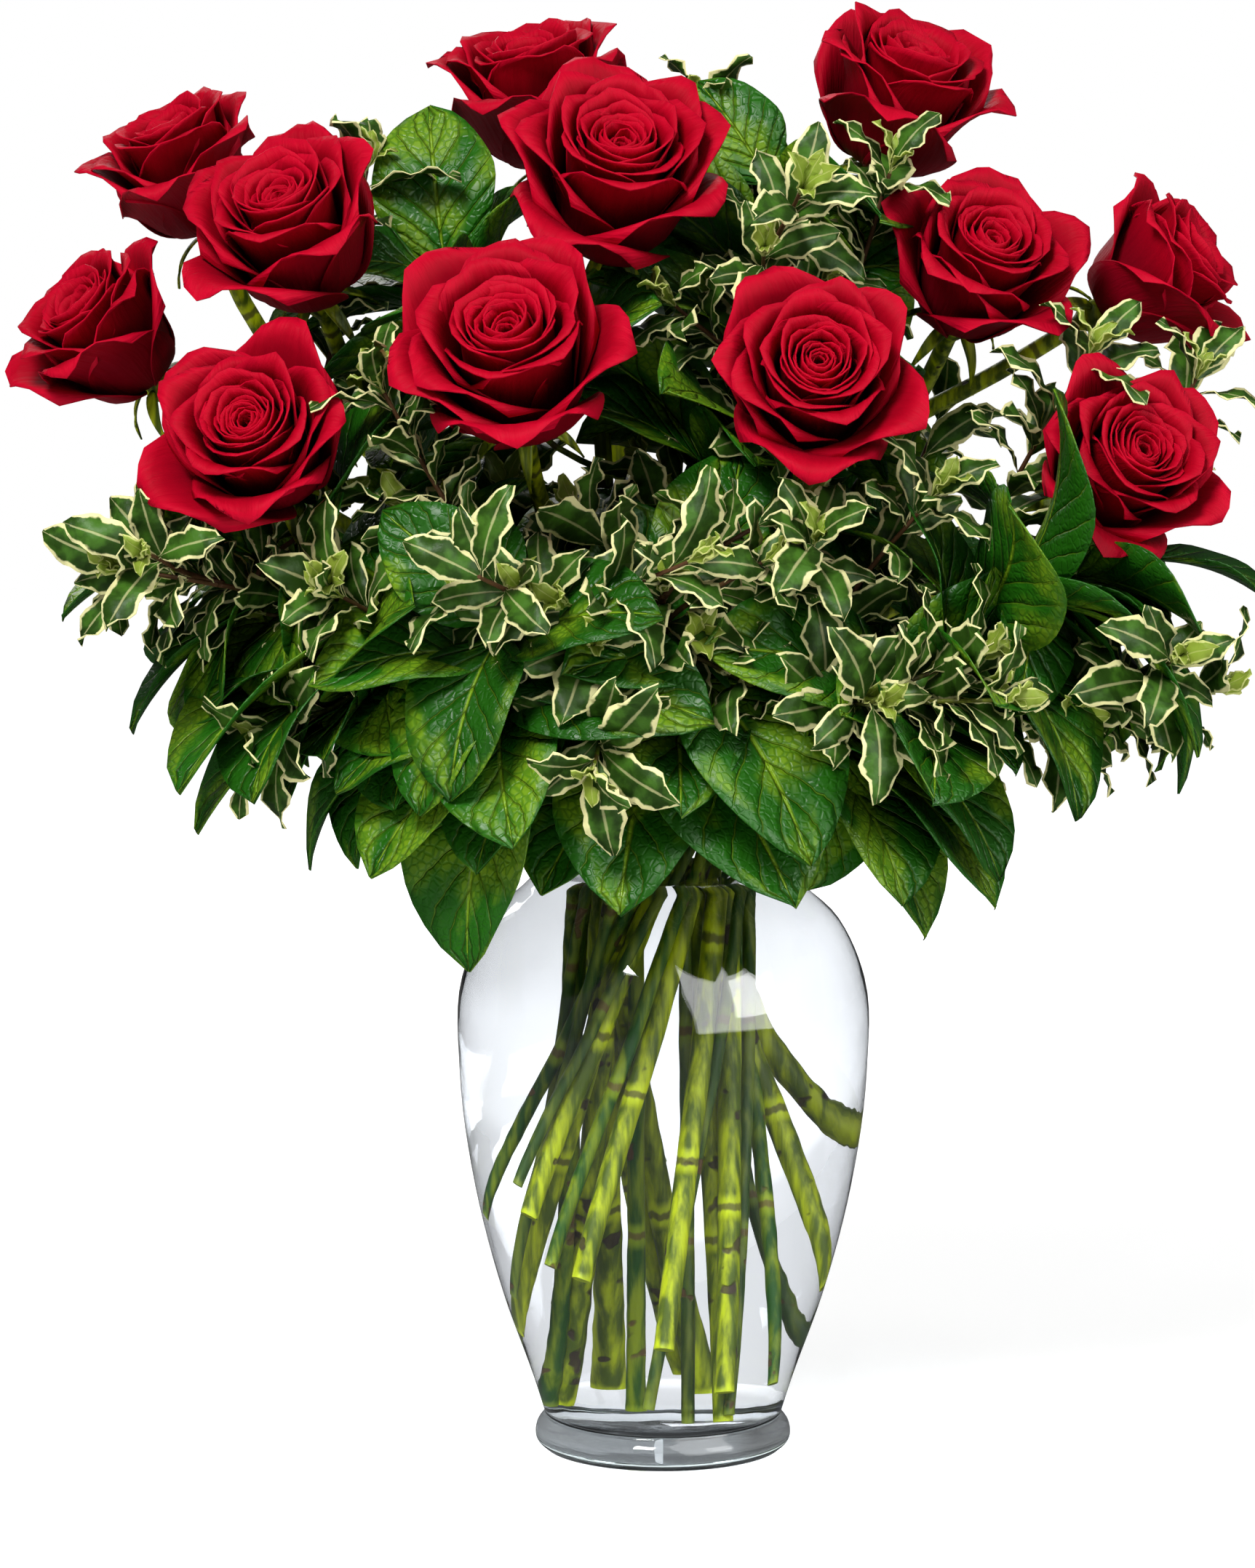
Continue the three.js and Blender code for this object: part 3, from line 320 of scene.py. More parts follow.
# Short side twigs: how many a stem has, from which place, their length and what they keep clear, how
# their way swings, follows the stem and rises, and the share of its radius that one keeps at its end.
SIDE_TWIGS = {
    "count": 8, "from": 1.0, "reach": (34, 70), "clear": 9, "tries": 6, "swing": 40, "along": 0.6,
    "rise": 0.35, "taper": 0.6,
}
# Half of the stretch of a curve, counted in knots, over which its way is read.
NUDGE = 0.02

# Salal leaves with their tips between these heights turn by up to this share towards the front.
TOWARDS_FRONT = Vector((0, -1, 0.15))
TURNED_FROM = (420, 500)
TURNED_BY = 0.9

# From here on, in metres. The heights between which pittosporum stems turn to bark.
BARK_FROM = (0.3, 0.37)
# The floor's reach, its glow near and far with the distances, and where and how much a painted contact
# shadow round the vase dims the glow.
FLOOR_REACH = 6
FLOOR_GLOW = (0.52, 0.8)
FLOOR_GLOW_FROM = (0.5, 2.2)
CONTACT_SHADOW_REACH = (0.03, 0.3)
CONTACT_SHADOW_DEPTH = 0.2
# How much darker the floor and the world look in what the glass and water mirror.
MIRRORED_DIMMING = 0.85
CAMERA_PLACE = (-0.014, -1.75, 0.43)
CAMERA_PITCH = 5.48
CAMERA_LENS = 103.28
# Each lamp: name, place, what it looks at, its two sizes and its power in watts.
LAMPS = [
    ("Key", (-0.7, -1.7, 2.0), (0, 0, 0.35), (0.7, 0.7), 58),
    ("Fill", (1.6, -1.2, 0.9), (0, 0, 0.3), (0.9, 0.9), 12),
    ("Back", (-0.6, 2.0, 1.5), (0, 0, 0.35), (1.2, 1.2), 16),
]
WINDOW = ("Window", (1.15, -1.3, 1.22), (0, 0, 0.2), (1.9, 2.5), 50)


def joined_by(operation):
    """A method that joins a wire and another value by a Math node."""
    return lambda wire, other: wire.net.maths(operation, wire, other)


class Wire:
    """One output of a node. Python expressions on it add the Math nodes that they need."""

    def __init__(self, net, node, socket):
        self.net = net
        self.node = node
        self.socket = socket

    def __getitem__(self, name):
        """Another output of the same node."""
        return Wire(self.net, self.node, self.node.outputs[name])

    def __rsub__(self, other):
        return self.net.maths("SUBTRACT", other, self)

    def __abs__(self):
        return self.net.maths("ABSOLUTE", self)

    __add__ = __radd__ = joined_by("ADD")
    __sub__ = joined_by("SUBTRACT")
    __mul__ = __rmul__ = joined_by("MULTIPLY")
    __truediv__ = joined_by("DIVIDE")
    __mod__ = joined_by("FLOORED_MODULO")
    __pow__ = joined_by("POWER")


class Net:
    """Adds nodes to one tree."""

    def __init__(self, tree):
        self.tree = tree

    def add(self, kind, values=None, **settings):
        """A node with its settings, which are set first, and the values or links of its inputs."""
        node = self.tree.nodes.new(kind)
        for name, value in settings.items():
            setattr(node, name, value)
        for name, value in (values or {}).items():
            if isinstance(value, Wire):
                self.tree.links.new(value.socket, node.inputs[name])
            else:
                node.inputs[name].default_value = value
        return Wire(self, node, node.outputs[0]) if node.outputs else node

    def maths(self, operation, *values):
        """A Math node, or a Vector Math node where a vector takes part."""
        vectors = [value for value in values if isinstance(value, Wire) and value.socket.type == "VECTOR"]
        inputs = dict(enumerate(values))
        if not vectors:
            return self.add("ShaderNodeMath", inputs, operation=operation)
        if operation == "MULTIPLY" and len(vectors) == 1:
            operation = "SCALE"
            inputs = {0: vectors[0], "Scale": values[1] if values[0] is vectors[0] else values[0]}
        return self.add("ShaderNodeVectorMath", inputs, operation=operation)

    def sine(self, value):
        return self.maths("SINE", value)

    def cosine(self, value):
        return self.maths("COSINE", value)

    def smooth(self, value, low, high):
        """A step from 0 to 1 that starts at low and ends at high."""
        values = {"Value": value, "From Min": low, "From Max": high}
        return self.add("ShaderNodeMapRange", values, interpolation_type="SMOOTHSTEP")

    def clamp(self, value, low=0.0, high=1.0):
        return self.add("ShaderNodeClamp", {"Value": value, "Min": low, "Max": high})

    def vector(self, x, y, z):
        return self.add("ShaderNodeCombineXYZ", {"X": x, "Y": y, "Z": z})

    def parts(self, vector):
        """The three numbers of a vector."""
        split = self.add("ShaderNodeSeparateXYZ", {"Vector": vector})
        return split["X"], split["Y"], split["Z"]

    def mix(self, factor, first, second):
        """Two colours, each a wire or red, green and blue."""
        colours = [c if isinstance(c, Wire) else (*c, 1) for c in (first, second)]
        return self.add("ShaderNodeMix", {0: factor, 6: colours[0], 7: colours[1]}, data_type="RGBA")[2]

    def noise(self, vector, scale, detail=3):
        return self.add("ShaderNodeTexNoise", {"Vector": vector, "Scale": scale, "Detail": detail})


class Finish(Net):
    """A material. Most kinds end in one principled shader."""

    def __init__(self, name):
        self.material = bpy.data.materials.new(name)
        self.material.use_nodes = True
        super().__init__(self.material.node_tree)
        self.tree.nodes.clear()

    def place(self, scale=1.0):
        """The place on the object, in metres times the scale."""
        return self.add("ShaderNodeTexCoord")["Object"] * scale

    def sheet(self, name):
        """The two coordinates of a UV map: across from -1 to 1, and along from 0 to 1."""
        across, length, _ = self.parts(self.add("ShaderNodeUVMap", uv_map=name))
        return across * 2 - 1, length

    def attribute(self, name):
        return self.add("ShaderNodeAttribute", attribute_name=name)["Fac"]

    def bump(self, height, distance, strength=1.0):
        return self.add("ShaderNodeBump", {"Height": height, "Distance": distance, "Strength": strength})

    def shade(self, values):
        """Ends the material in its principled shader and returns it."""
        shader = self.add("ShaderNodeBsdfPrincipled", values)
        self.add("ShaderNodeOutputMaterial", {"Surface": shader})
        return self.material


class Shape(Net):
    """A geometry tree with named inputs. It ends in Realize Instances and Set Material."""

    def __init__(self, name, inputs):
        super().__init__(bpy.data.node_groups.new(name, "GeometryNodeTree"))
        face = self.tree.interface
        face.new_socket("Geometry", in_out="INPUT", socket_type="NodeSocketGeometry")
        face.new_socket("Geometry", in_out="OUTPUT", socket_type="NodeSocketGeometry")
        for label, default in inputs.items():
            kind = "NodeSocketInt" if isinstance(default, int) else "NodeSocketFloat"
            face.new_socket(label, in_out="INPUT", socket_type=kind).default_value = default
        face.new_socket("Material", in_out="INPUT", socket_type="NodeSocketMaterial")
        self.given = self.add("NodeGroupInput")

    def named(self, name, data_type="FLOAT"):
        """What the source's points say under a name."""
        return self.add("GeometryNodeInputNamedAttribute", {"Name": name}, data_type=data_type)["Attribute"]

    def moved(self, geometry, position):
        return self.add("GeometryNodeSetPosition", {"Geometry": geometry, "Position": position})

    def kept(self, geometry, name, value, data_type="FLOAT", domain="POINT"):
        """The geometry with a value stored on it under a name."""
        values = {"Geometry": geometry, "Name": name, "Value": value}
        return self.add("GeometryNodeStoreNamedAttribute", values, data_type=data_type, domain=domain)

    def mapped(self, geometry, name, across, length):
        """Gives the corners a UV map, by way of the points, because the numbers are theirs."""
        spot = self.vector(across * 0.5 + 0.5, length, 0.0)
        known = self.kept(geometry, "spot", spot, "FLOAT_VECTOR")
        return self.kept(known, name, self.named("spot", "FLOAT_VECTOR"), "FLOAT2", "CORNER")

    def sheets(self):
        """A grid on every source point: the grids, each corner's across and along, and its line."""
        columns, rows = self.given["Columns"], self.given["Rows"]
        grid = self.add("GeometryNodeMeshGrid", {"Vertices X": columns, "Vertices Y": rows})
        values = {"Points": self.given["Geometry"], "Instance": grid}
        each = self.add("GeometryNodeInstanceOnPoints", values)
        whole = self.add("GeometryNodeRealizeInstances", {"Geometry": each})
        index = self.add("GeometryNodeInputIndex")
        line = self.maths("FLOOR", (index + 0.5) / rows)
        across = (line % columns) / (columns - 1) * 2 - 1
        return whole, across, (index % rows) / (rows - 1), line

    def thickened(self, sheet, thickness):
        """Gives an open sheet its thickness, and closes its edges."""
        values = {"Mesh": sheet, "Offset Scale": thickness, "Individual": False}
        extruded = self.add("GeometryNodeExtrudeMesh", values)
        under = self.add("GeometryNodeFlipFaces", {"Mesh": sheet})
        join = self.add("GeometryNodeJoinGeometry")
        self.tree.links.new(extruded.socket, join.node.inputs[0])
        self.tree.links.new(under.socket, join.node.inputs[0])
        return self.add("GeometryNodeMergeByDistance", {"Geometry": join, "Distance": WELD})

    def end(self, geometry):
        smooth = self.add("GeometryNodeSetShadeSmooth", {"Geometry": geometry})
        whole = self.add("GeometryNodeRealizeInstances", {"Geometry": smooth})
        values = {"Geometry": whole, "Material": self.given["Material"]}
        self.add("NodeGroupOutput", {"Geometry": self.add("GeometryNodeSetMaterial", values)})
        return self.tree


def points_mesh(name, rows):
    """A mesh of loose points. Each row gives a point's place and the numbers that it carries."""
    mesh = bpy.data.meshes.new(name)
    mesh.from_pydata([row["place"] for row in rows], [], [])
    for label in (key for key in rows[0] if key != "place"):
        kind = "FLOAT_VECTOR" if isinstance(rows[0][label], Vector) else "FLOAT"
        layer = mesh.attributes.new(label, kind, "POINT")
        for item, row in zip(layer.data, rows):
            if kind == "FLOAT":
                item.value = row[label]
            else:
                item.vector = row[label]
    return mesh


def path_mesh(name, lines):
    """A mesh of open lines. Each line is a list of points with a radius, in millimetres."""
    mesh = bpy.data.meshes.new(name)
    points = [point * MM for line in lines for point, _ in line]
    edges = []
    first = 0
    for line in lines:
        edges += [(k, k + 1) for k in range(first, first + len(line) - 1)]
        first += len(line)
    mesh.from_pydata(points, edges, [])
    radius = mesh.attributes.new("radius", "FLOAT", "POINT")
    for item, (_, value) in zip(radius.data, (pair for line in lines for pair in line)):
        item.value = value * MM
    return mesh


def placed(name, data):
    """A new object in the scene."""
    thing = bpy.data.objects.new(name, data)
    bpy.context.scene.collection.objects.link(thing)
    return thing


def add_piece(name, source, shape, values, slot, *nodes, matrix=None):
    """Runs a geometry tree on a source mesh, and adds the plain mesh it makes as a piece."""
    piece = placed(name, source)
    modifier = piece.modifiers.new("Shape", "NODES")
    modifier.node_group = shape
    for item in shape.interface.items_tree:
        if item.in_out == "INPUT" and item.name in values:
            modifier[item.identifier] = values[item.name]
    graph = bpy.context.evaluated_depsgraph_get()
    evaluated = piece.evaluated_get(graph)
    mesh = bpy.data.meshes.new_from_object(evaluated, preserve_all_data_layers=True, depsgraph=graph)
    piece.modifiers.remove(modifier)
    piece.data = mesh
    mesh.name = name
    if matrix:
        mesh.transform(matrix)
    if not mesh.polygons:
        raise RuntimeError(f"{name} has no faces")
    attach(piece, BODY)
    if nodes:
        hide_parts(*nodes)
    return piece


def lathe_shape():
    """A solid of revolution about the Z axis. The source's corners are its outline in order."""
    net = Shape("Turned glass", {"Sides": 96})
    sides = net.given["Sides"]
    outline = {"Geometry": net.given["Geometry"]}
    count = net.add("GeometryNodeAttributeDomainSize", outline)["Point Count"]
    grid = net.add("GeometryNodeMeshGrid", {"Vertices X": sides + 1, "Vertices Y": count})
    index = net.add("GeometryNodeInputIndex")
    turn = net.maths("FLOOR", (index + 0.5) / count) * math.tau / sides
    values = {**outline, "Value": net.add("GeometryNodeInputPosition"), "Index": index % count}
    place = net.add("GeometryNodeSampleIndex", values, data_type="FLOAT_VECTOR")
    radius, _, height = net.parts(place)
    turned = net.moved(grid, net.vector(radius * net.cosine(turn), radius * net.sine(turn), height))
    return net.end(net.add("GeometryNodeMergeByDistance", {"Geometry": turned, "Distance": WELD}))


def add_turned(name, outline, sides, material, slot, node):
    """Adds a solid of revolution from its outline, which is pairs of a radius and a height."""
    source = points_mesh("Outline", [{"place": (radius * MM, 0, height * MM)} for radius, height in outline])
    add_piece(name, source, lathe_shape(), {"Sides": sides, "Material": material}, slot, node)


def tube_shape():
    """Round bars along the source's lines, each as thick as its points say."""
    net = Shape("Stems", {"Sides": 12})
    curve = net.add("GeometryNodeMeshToCurve", {"Mesh": net.given["Geometry"]})
    ruled = net.kept(curve, "length", net.add("GeometryNodeSplineParameter")["Length"])
    ring = net.add("GeometryNodeCurvePrimitiveCircle", {"Resolution": net.given["Sides"], "Radius": 1.0})
    values = {"Curve": ruled, "Profile Curve": ring, "Scale": net.named("radius"), "Fill Caps": True}
    return net.end(net.add("GeometryNodeCurveToMesh", values))


def leaf_shape():
    """Leaves: each source point is the base of one, and says which way it lies and how long it is."""
    net = Shape("Leaves", SALAL_LEAF)
    sheets, across, t, _ = net.sheets()
    given = net.given
    length = net.named("length")
    stalk = given["Stalk"]
    s = net.maths("MAXIMUM", (t - stalk) / (1 - stalk), 0.0)
    ending = net.maths("MAXIMUM", 1 - s, 0.0) ** given["Tip power"]
    outline = given["Fullness"] * s ** given["Base power"] * ending
    phase = net.named("phase")
    side = abs(across)
    scallop = net.sine(given["Ripples"] * t * 1.3 + phase * 2 + across * 2) * side * given["Scallop"] + 1
    half = net.maths("MAXIMUM", given["Aspect"] * length * outline * scallop, given["Stalk width"])
    swing = net.sine(given["Ripples"] * t + phase + across * RIPPLE_SLANT)
    grown = net.maths("MINIMUM", length / given["Full length"], 1.0)
    ripple = given["Wave"] * grown * swing * side * s ** 0.5
    arch = given["Arch"] * length * 4 * t * (1 - t)
    rise = arch + given["Fold"] * half * side + given["Cup"] * half * side ** 2 + ripple
    spot = (net.named("base", "FLOAT_VECTOR") + net.named("lengthwise", "FLOAT_VECTOR") * (length * t)
            + net.named("sideways", "FLOAT_VECTOR") * (half * across)
            + net.named("outward", "FLOAT_VECTOR") * rise)
    laid = net.moved(sheets, spot * MM)
    return net.end(net.thickened(net.mapped(laid, "leaf", across, t), given["Thickness"] * MM))


def petal_shape():
    """Petals in layers about the Z axis: each source point is one petal and gives its shape."""
    net = Shape("Rose petals", {"Columns": 11, "Rows": 15, "Thickness": 0.5})
    sheets, across, v, line = net.sheets()
    rows = net.given["Rows"]
    place = net.named("petal_place")
    side = abs(across)
    drop = side ** 2.4 * PETAL_ROUND + side ** 1.1 * net.named("point")
    reach = 1 - drop

    def slope(s):
        base, middle, rim = net.named("base_slope"), net.named("middle_slope"), net.named("rim_slope")
        rising = (middle - base) * net.smooth(s, 0.0, PETAL_MIDDLE)
        opening = (rim - middle) * net.smooth(s, PETAL_MIDDLE, PETAL_RIM)
        return base + rising + opening - net.named("curl") * net.smooth(s, PETAL_RIM, 1.0)

    step = reach / (rows - 1)
    started = net.maths("GREATER_THAN", v, 0.001) * net.named("petal_length") * step
    halfway = slope(v * reach - step * 0.5) * RADIAN
    ways = [net.add("GeometryNodeAccumulateField", {"Value": turn(halfway) * started, "Group ID": line},
                    data_type="FLOAT")["Leading"] for turn in (net.cosine, net.sine)]
    distance = ways[0] + place * PETAL_ROOT_GROWTH + PETAL_ROOT
    here = slope(v * reach) * RADIAN
    narrowed = net.clamp((v - NARROWED_FROM) / (1 - NARROWED_FROM)) ** 2 * -NARROWED_BY + 1
    opening = net.sine(net.maths("MINIMUM", v / FULL_FROM, 1.0) * (math.pi / 2)) ** 0.9
    opened = opening * (1 - ROOT_WIDTH) + ROOT_WIDTH
    wrap = net.maths("MAXIMUM", distance, LEAST_WRAP) * net.named("flatness")
    half_bend = across * net.named("half_width") * opened * narrowed / wrap
    bend = net.clamp(half_bend, -MOST_BEND, MOST_BEND)
    edge = net.clamp((side - ROLLED_FROM) / (1 - ROLLED_FROM)) ** 2 * v ** 2
    roll = edge * net.named("rolled")
    tuck = (place + 1) * TUCK * across * (1 - v * 0.3)
    coarse, fine = (net.sine(across * count + net.named(label))
                    for count, label in zip(RUFFLES, ("phase", "second_phase")))
    wave = coarse + fine * 0.6
    waved = wave * v ** 3 * (place * 1.1 + 0.5)
    out = distance + roll * net.sine(here) + tuck - wrap * (1 - net.cosine(bend)) + waved * 0.5
    along_rim = wrap * net.sine(bend)
    height = ways[1] - roll * net.cosine(here) * 0.6 + waved * 0.6
    turn = net.named("turn")
    spot = net.vector(out * net.cosine(turn) - along_rim * net.sine(turn),
                      out * net.sine(turn) + along_rim * net.cosine(turn), height)
    laid = net.moved(sheets, spot)
    return net.end(net.thickened(net.mapped(laid, "petal", across, v), net.given["Thickness"]))


def blend(value, places, levels):
    """A level read between the places, going on straight beyond the first and the last."""
    k = 1
    while k < len(places) - 1 and value > places[k]:
        k += 1
    part = (value - places[k - 1]) / (places[k] - places[k - 1])
    return levels[k - 1] + part * (levels[k] - levels[k - 1])


def seeded(seed):
    """A repeatable stream of numbers from 0 to 1, the same as in the solids."""
    state = 100003 * seed + 17
    while True:
        state = (state * 16807) % 2147483647
        yield state / 2147483647


def spread(random, reach):
    return (2 * next(random) - 1) * reach


def round_point(distance, direction, height):
    angle = math.radians(direction)
    return Vector((distance * math.cos(angle), distance * math.sin(angle), height))


def inside_outline(gap):
    """The outline of the inside of the vase, from the middle of its floor to the lip."""
    outline = [(0, FLOOR_TOP + gap), (FLOOR_RADIUS, FLOOR_TOP + gap)]
    inset = WALL_THICKNESS + gap
    wall = [FOOT_OUTLINE[-1], *WALL_OUTLINE, LIP_OUTLINE[0]]
    for below, here, above in zip(wall, wall[1:], wall[2:]):
        rise = above[1] - below[1]
        widen = above[0] - below[0]
        run = math.hypot(rise, widen)
        outline.append((here[0] - inset * rise / run, here[1] + inset * widen / run))
    return outline


def inside_radius(height):
    outline = inside_outline(0)[1:]
    return blend(height, [point[1] for point in outline], [point[0] for point in outline])


def flowing(knots, start=None):
    """A smooth curve through the knots. Its place counts them from 0, and start is its first way."""
    spans = list(zip(knots, knots[1:]))
    lengths = [(b - a).length for a, b in spans]
    chords = [(b - a) / length for (a, b), length in zip(spans, lengths)]
    slopes = [start or chords[0]]
    for k in range(1, len(spans)):
        share = lengths[k - 1] / (lengths[k - 1] + lengths[k])
        slopes.append(chords[k] * share + chords[k - 1] * (1 - share))
    slopes.append(chords[-1])

    def curve(place):
        k = max(0, min(len(spans) - 1, math.floor(place)))
        t = place - k
        return (knots[k] * ((1 + 2 * t) * (1 - t) ** 2)
                + slopes[k] * (t * (1 - t) ** 2 * lengths[k])
                + knots[k + 1] * (t * t * (3 - 2 * t))
                + slopes[k + 1] * (t * t * (t - 1) * lengths[k]))

    return curve


def sampled(curve, spans, steps):
    """Points along a curve, with this many steps to each span."""
    return [curve(k / steps) for k in range(spans * steps + 1)]


def sidestep(number, reach, turn):
    """A small step aside in the level plane, which grows and turns with its number."""
    return round_point(reach * math.sqrt(number), turn + GOLDEN_ANGLE * number, 0)


def held_inside(point, radius):
    """A point moved in from the wall and up from the floor until a bar there has room."""
    height = max(point.z, FLOOR_TOP + radius * SLANT + 1)
    flare = max(0, height - NECK_HEIGHT) * LIP_FLARE
    room = inside_radius(min(height, NECK_HEIGHT)) + flare - radius * SLANT - WALL_ROOM
    share = min(1, room / math.hypot(point.x, point.y))
    return Vector((point.x * share, point.y * share, height))


def corners_of(node):
    """A search tree of a CAD node's corners, in millimetres."""
    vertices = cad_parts[node].data.vertices
    tree = KDTree(len(vertices))
    for vertex in vertices:
        tree.insert(vertex.co / MM, vertex.index)
    tree.balance()
    return tree


def bar_corners(points, radii, sides):
    """The corners of the rings of a bar through the points, as the solids have them."""
    last = len(points) - 1
    chord = points[last] - points[0]
    across = min(Matrix.Identity(3), key=lambda axis: abs(axis.dot(chord)))
    corners = []
    for k, point in enumerate(points):
        way = (points[min(k + 1, last)] - points[max(k - 1, 0)]).normalized()
        first = (across - way * across.dot(way)).normalized()
        second = first.cross(way)
        for side in range(sides):
            angle = math.tau * side / sides
            corners.append(point + (first * math.sin(angle) + second * math.cos(angle)) * radii[k])
    return corners


def share_found(corners, tree):
    """The share of the corners that the CAD node has too."""
    return sum(tree.find(corner)[2] < NEAR for corner in corners) / len(corners)


def tapered(ends, count):
    return [ends[0] + (ends[1] - ends[0]) * k / (count - 1) for k in range(count)]


def bar(points, ends):
    """The points of a bar with their radii, which taper from one end to the other."""
    return list(zip(points, tapered(ends, len(points))))


def twig_bar(twig, radius, taper):
    return bar(sampled(twig["curve"], twig["spans"], FINE_STEPS), (radius, radius * taper))


def find_stem(node, waist_place, foot_place, ends, points_for):
    """Follows a stem of the CAD model: tries the steps that the solids try and returns the one found."""
    tree = corners_of(node)
    waist_reach, waist_turn = waist_place
    foot_reach, foot_height = foot_place
    for number in range(STEM_STEPS * FOOT_SLIDES):
        step, slide = divmod(number, FOOT_SLIDES)
        aside = FOOT_SLIDE * math.ceil(slide / 2) * (1 if slide % 2 else -1)
        foot = held_inside(round_point(foot_reach, waist_turn - SPIRAL_TURN + aside, foot_height), ends[0])
        start = round_point(waist_reach, waist_turn, NECK_HEIGHT) + sidestep(step, WAIST_STEP, 0)
        waist = held_inside(start, ends[0])
        points = points_for(foot, waist, sidestep(step, BOW_STEP, BOW_TURN))
        curve = flowing([waist, *points], (waist - foot).normalized())
        path = [foot, *sampled(curve, len(points), RINGS_PER_SPAN)]
        if share_found(bar_corners(path, tapered(ends, len(path)), STEM_SIDES), tree) > ENOUGH_FOUND:
            return {"foot": foot, "waist": waist, "curve": curve, "spans": len(points)}
    raise RuntimeError(f"{node} isn't where the solids' steps put it")


def find_twig(node, tree, stem, row, radius):
    """Follows a twig of the CAD model in the same way."""
    path = sampled(stem["curve"], stem["spans"], RINGS_PER_SPAN)
    start = along(path, row["from"] + 1)
    heading = along(path, row["from"] + 1.05) - along(path, row["from"] + 0.95)
    for number in range(TWIG_TRIES):
        points = [Vector(point) + sidestep(number, BOW_STEP, 0) for point in row["points"]]
        curve = flowing([start, *points], heading.normalized())
        rings = sampled(curve, len(points), RINGS_PER_SPAN)
        radii = tapered((radius, radius * TWIG_TAPER), len(rings))
        if share_found(bar_corners(rings, radii, TWIG_SIDES), tree) > ENOUGH_FOUND:
            return {"curve": curve, "spans": len(points)}
    raise RuntimeError(f"a twig of {node} isn't where the solids' steps put it")


def along(path, place):
    """The point at a place of a path that has a few points to each span."""
    k = max(0, min(len(path) - 2, math.floor(place * RINGS_PER_SPAN)))
    return path[k].lerp(path[k + 1], place * RINGS_PER_SPAN - k)


def smooth_outline(points):
    """A smooth line through the points of an outline, which are pairs of a radius and a height."""
    curve = flowing([Vector((radius, 0, height)) for radius, height in points])
    line = sampled(curve, len(points) - 1, OUTLINE_STEPS)
    return [(max(0, point.x), point.z) for point in line]


def square_to(axis):
    """Two ways at right angles to an axis and to each other, of which the first is level."""
    level = Vector((0, 0, 1)).cross(axis).normalized()
    return level, axis.cross(level)


def leaning(axis, tilt, turn):
    """A way that leans from an axis by a tilt, at a turn about it."""
    level, upright = square_to(axis)
    return (axis * math.cos(tilt) + level * (math.sin(tilt) * math.cos(turn))
            + upright * (math.sin(tilt) * math.sin(turn)))


def way_of(curve, place):
    """The way that a curve has at a place."""
    return (curve(place + NUDGE) - curve(place - NUDGE)).normalized()


def bloom_place(row):
    """A bloom's axis, and the matrix whose Z axis runs from the stem to the middle of the bloom."""
    base, turn, raise_, width, spin = row[:5]
    turn, raise_ = math.radians(turn), math.radians(raise_)
    axis = Vector((math.sin(turn) * math.cos(raise_), -math.cos(turn) * math.cos(raise_), math.sin(raise_)))
    turned = Matrix((*square_to(axis), axis)).transposed().to_4x4()
    return axis, Matrix.Translation(base) @ turned @ Matrix.Rotation(math.radians(spin), 4, "Z")


def rose_path(row, name):
    """The bar of a rose's stem and swollen top, as points with radii."""
    base, waist, foot = Vector(row[0]), row[5], row[6]
    axis, _ = bloom_place(row)
    end = base - axis * HIP_JOINT
    before = end - axis * STRAIGHT_TOP

    def points_for(foot, waist, bow):
        reach = (before - waist).length / 2
        rising = waist + (waist - foot).normalized() * reach
        return [(before - axis * reach + rising) * 0.5 + bow, before, end]

    stem = find_stem(name, waist, foot, ROSE_RADII, points_for)
    hip = [(base + axis * height, radius) for height, radius in HIP_SWELLING]
    return [*bar(stem_points(stem), ROSE_RADII)[:-HIP_OVERLAP], *hip]


def stem_points(stem):
    """Points down a whole stem from its foot: the straight stretch and the curve above the neck."""
    straight = [stem["foot"].lerp(stem["waist"], k / STRAIGHT_STEPS) for k in range(STRAIGHT_STEPS)]
    return straight + sampled(stem["curve"], stem["spans"], FINE_STEPS)


def leaf_row(base, tip, facing, phase, tone):
    """Where one leaf lies, from its base, its tip and the way that it looks, in millimetres."""
    length = (tip - base).length
    way = (tip - base) / length
    outward = (facing - way * facing.dot(way)).normalized()
    return {"place": base * MM, "base": base, "lengthwise": way, "sideways": way.cross(outward),
            "outward": outward, "length": length, "phase": phase, "tone": tone}


def settled(tree, kind, base, tip, facing, phase):
    """The leaf's tip in the small turn that the solids gave it, or None where they left it out."""
    length = (tip - base).length
    way = (tip - base) / length
    across = way.cross(facing).normalized()
    outward = across.cross(way)
    for number in range(LEAF_TRIES):
        turn = math.radians(GOLDEN_ANGLE * number)
        size = LEAF_STEP * math.sqrt(number)
        aside = across * (size * math.cos(turn)) + outward * (size * math.sin(turn))
        tried = base + (way + aside).normalized() * length
        row = leaf_row(base, tried, facing, phase, 0)
        misses = []
        for side in (-1, 1):
            swing = math.sin(kind["ripples"] + phase + RIPPLE_SLANT * side)
            rise = kind["fold"] * kind["edge"] + kind["wave"] * swing
            corner = tried + row["sideways"] * (side * kind["edge"]) + row["outward"] * rise
            misses.append(abs(tree.find(corner)[2] - kind["thickness"] / 2))
        if max(misses) < NEAR:
            return tried
    return None


def outward_from(point):
    """The way that a leaf at a point looks: away from the middle, and up."""
    away = Vector((point.x, point.y, 0)).normalized() * LEAF_FACING[0]
    return away + Vector((0, 0, LEAF_FACING[1]))


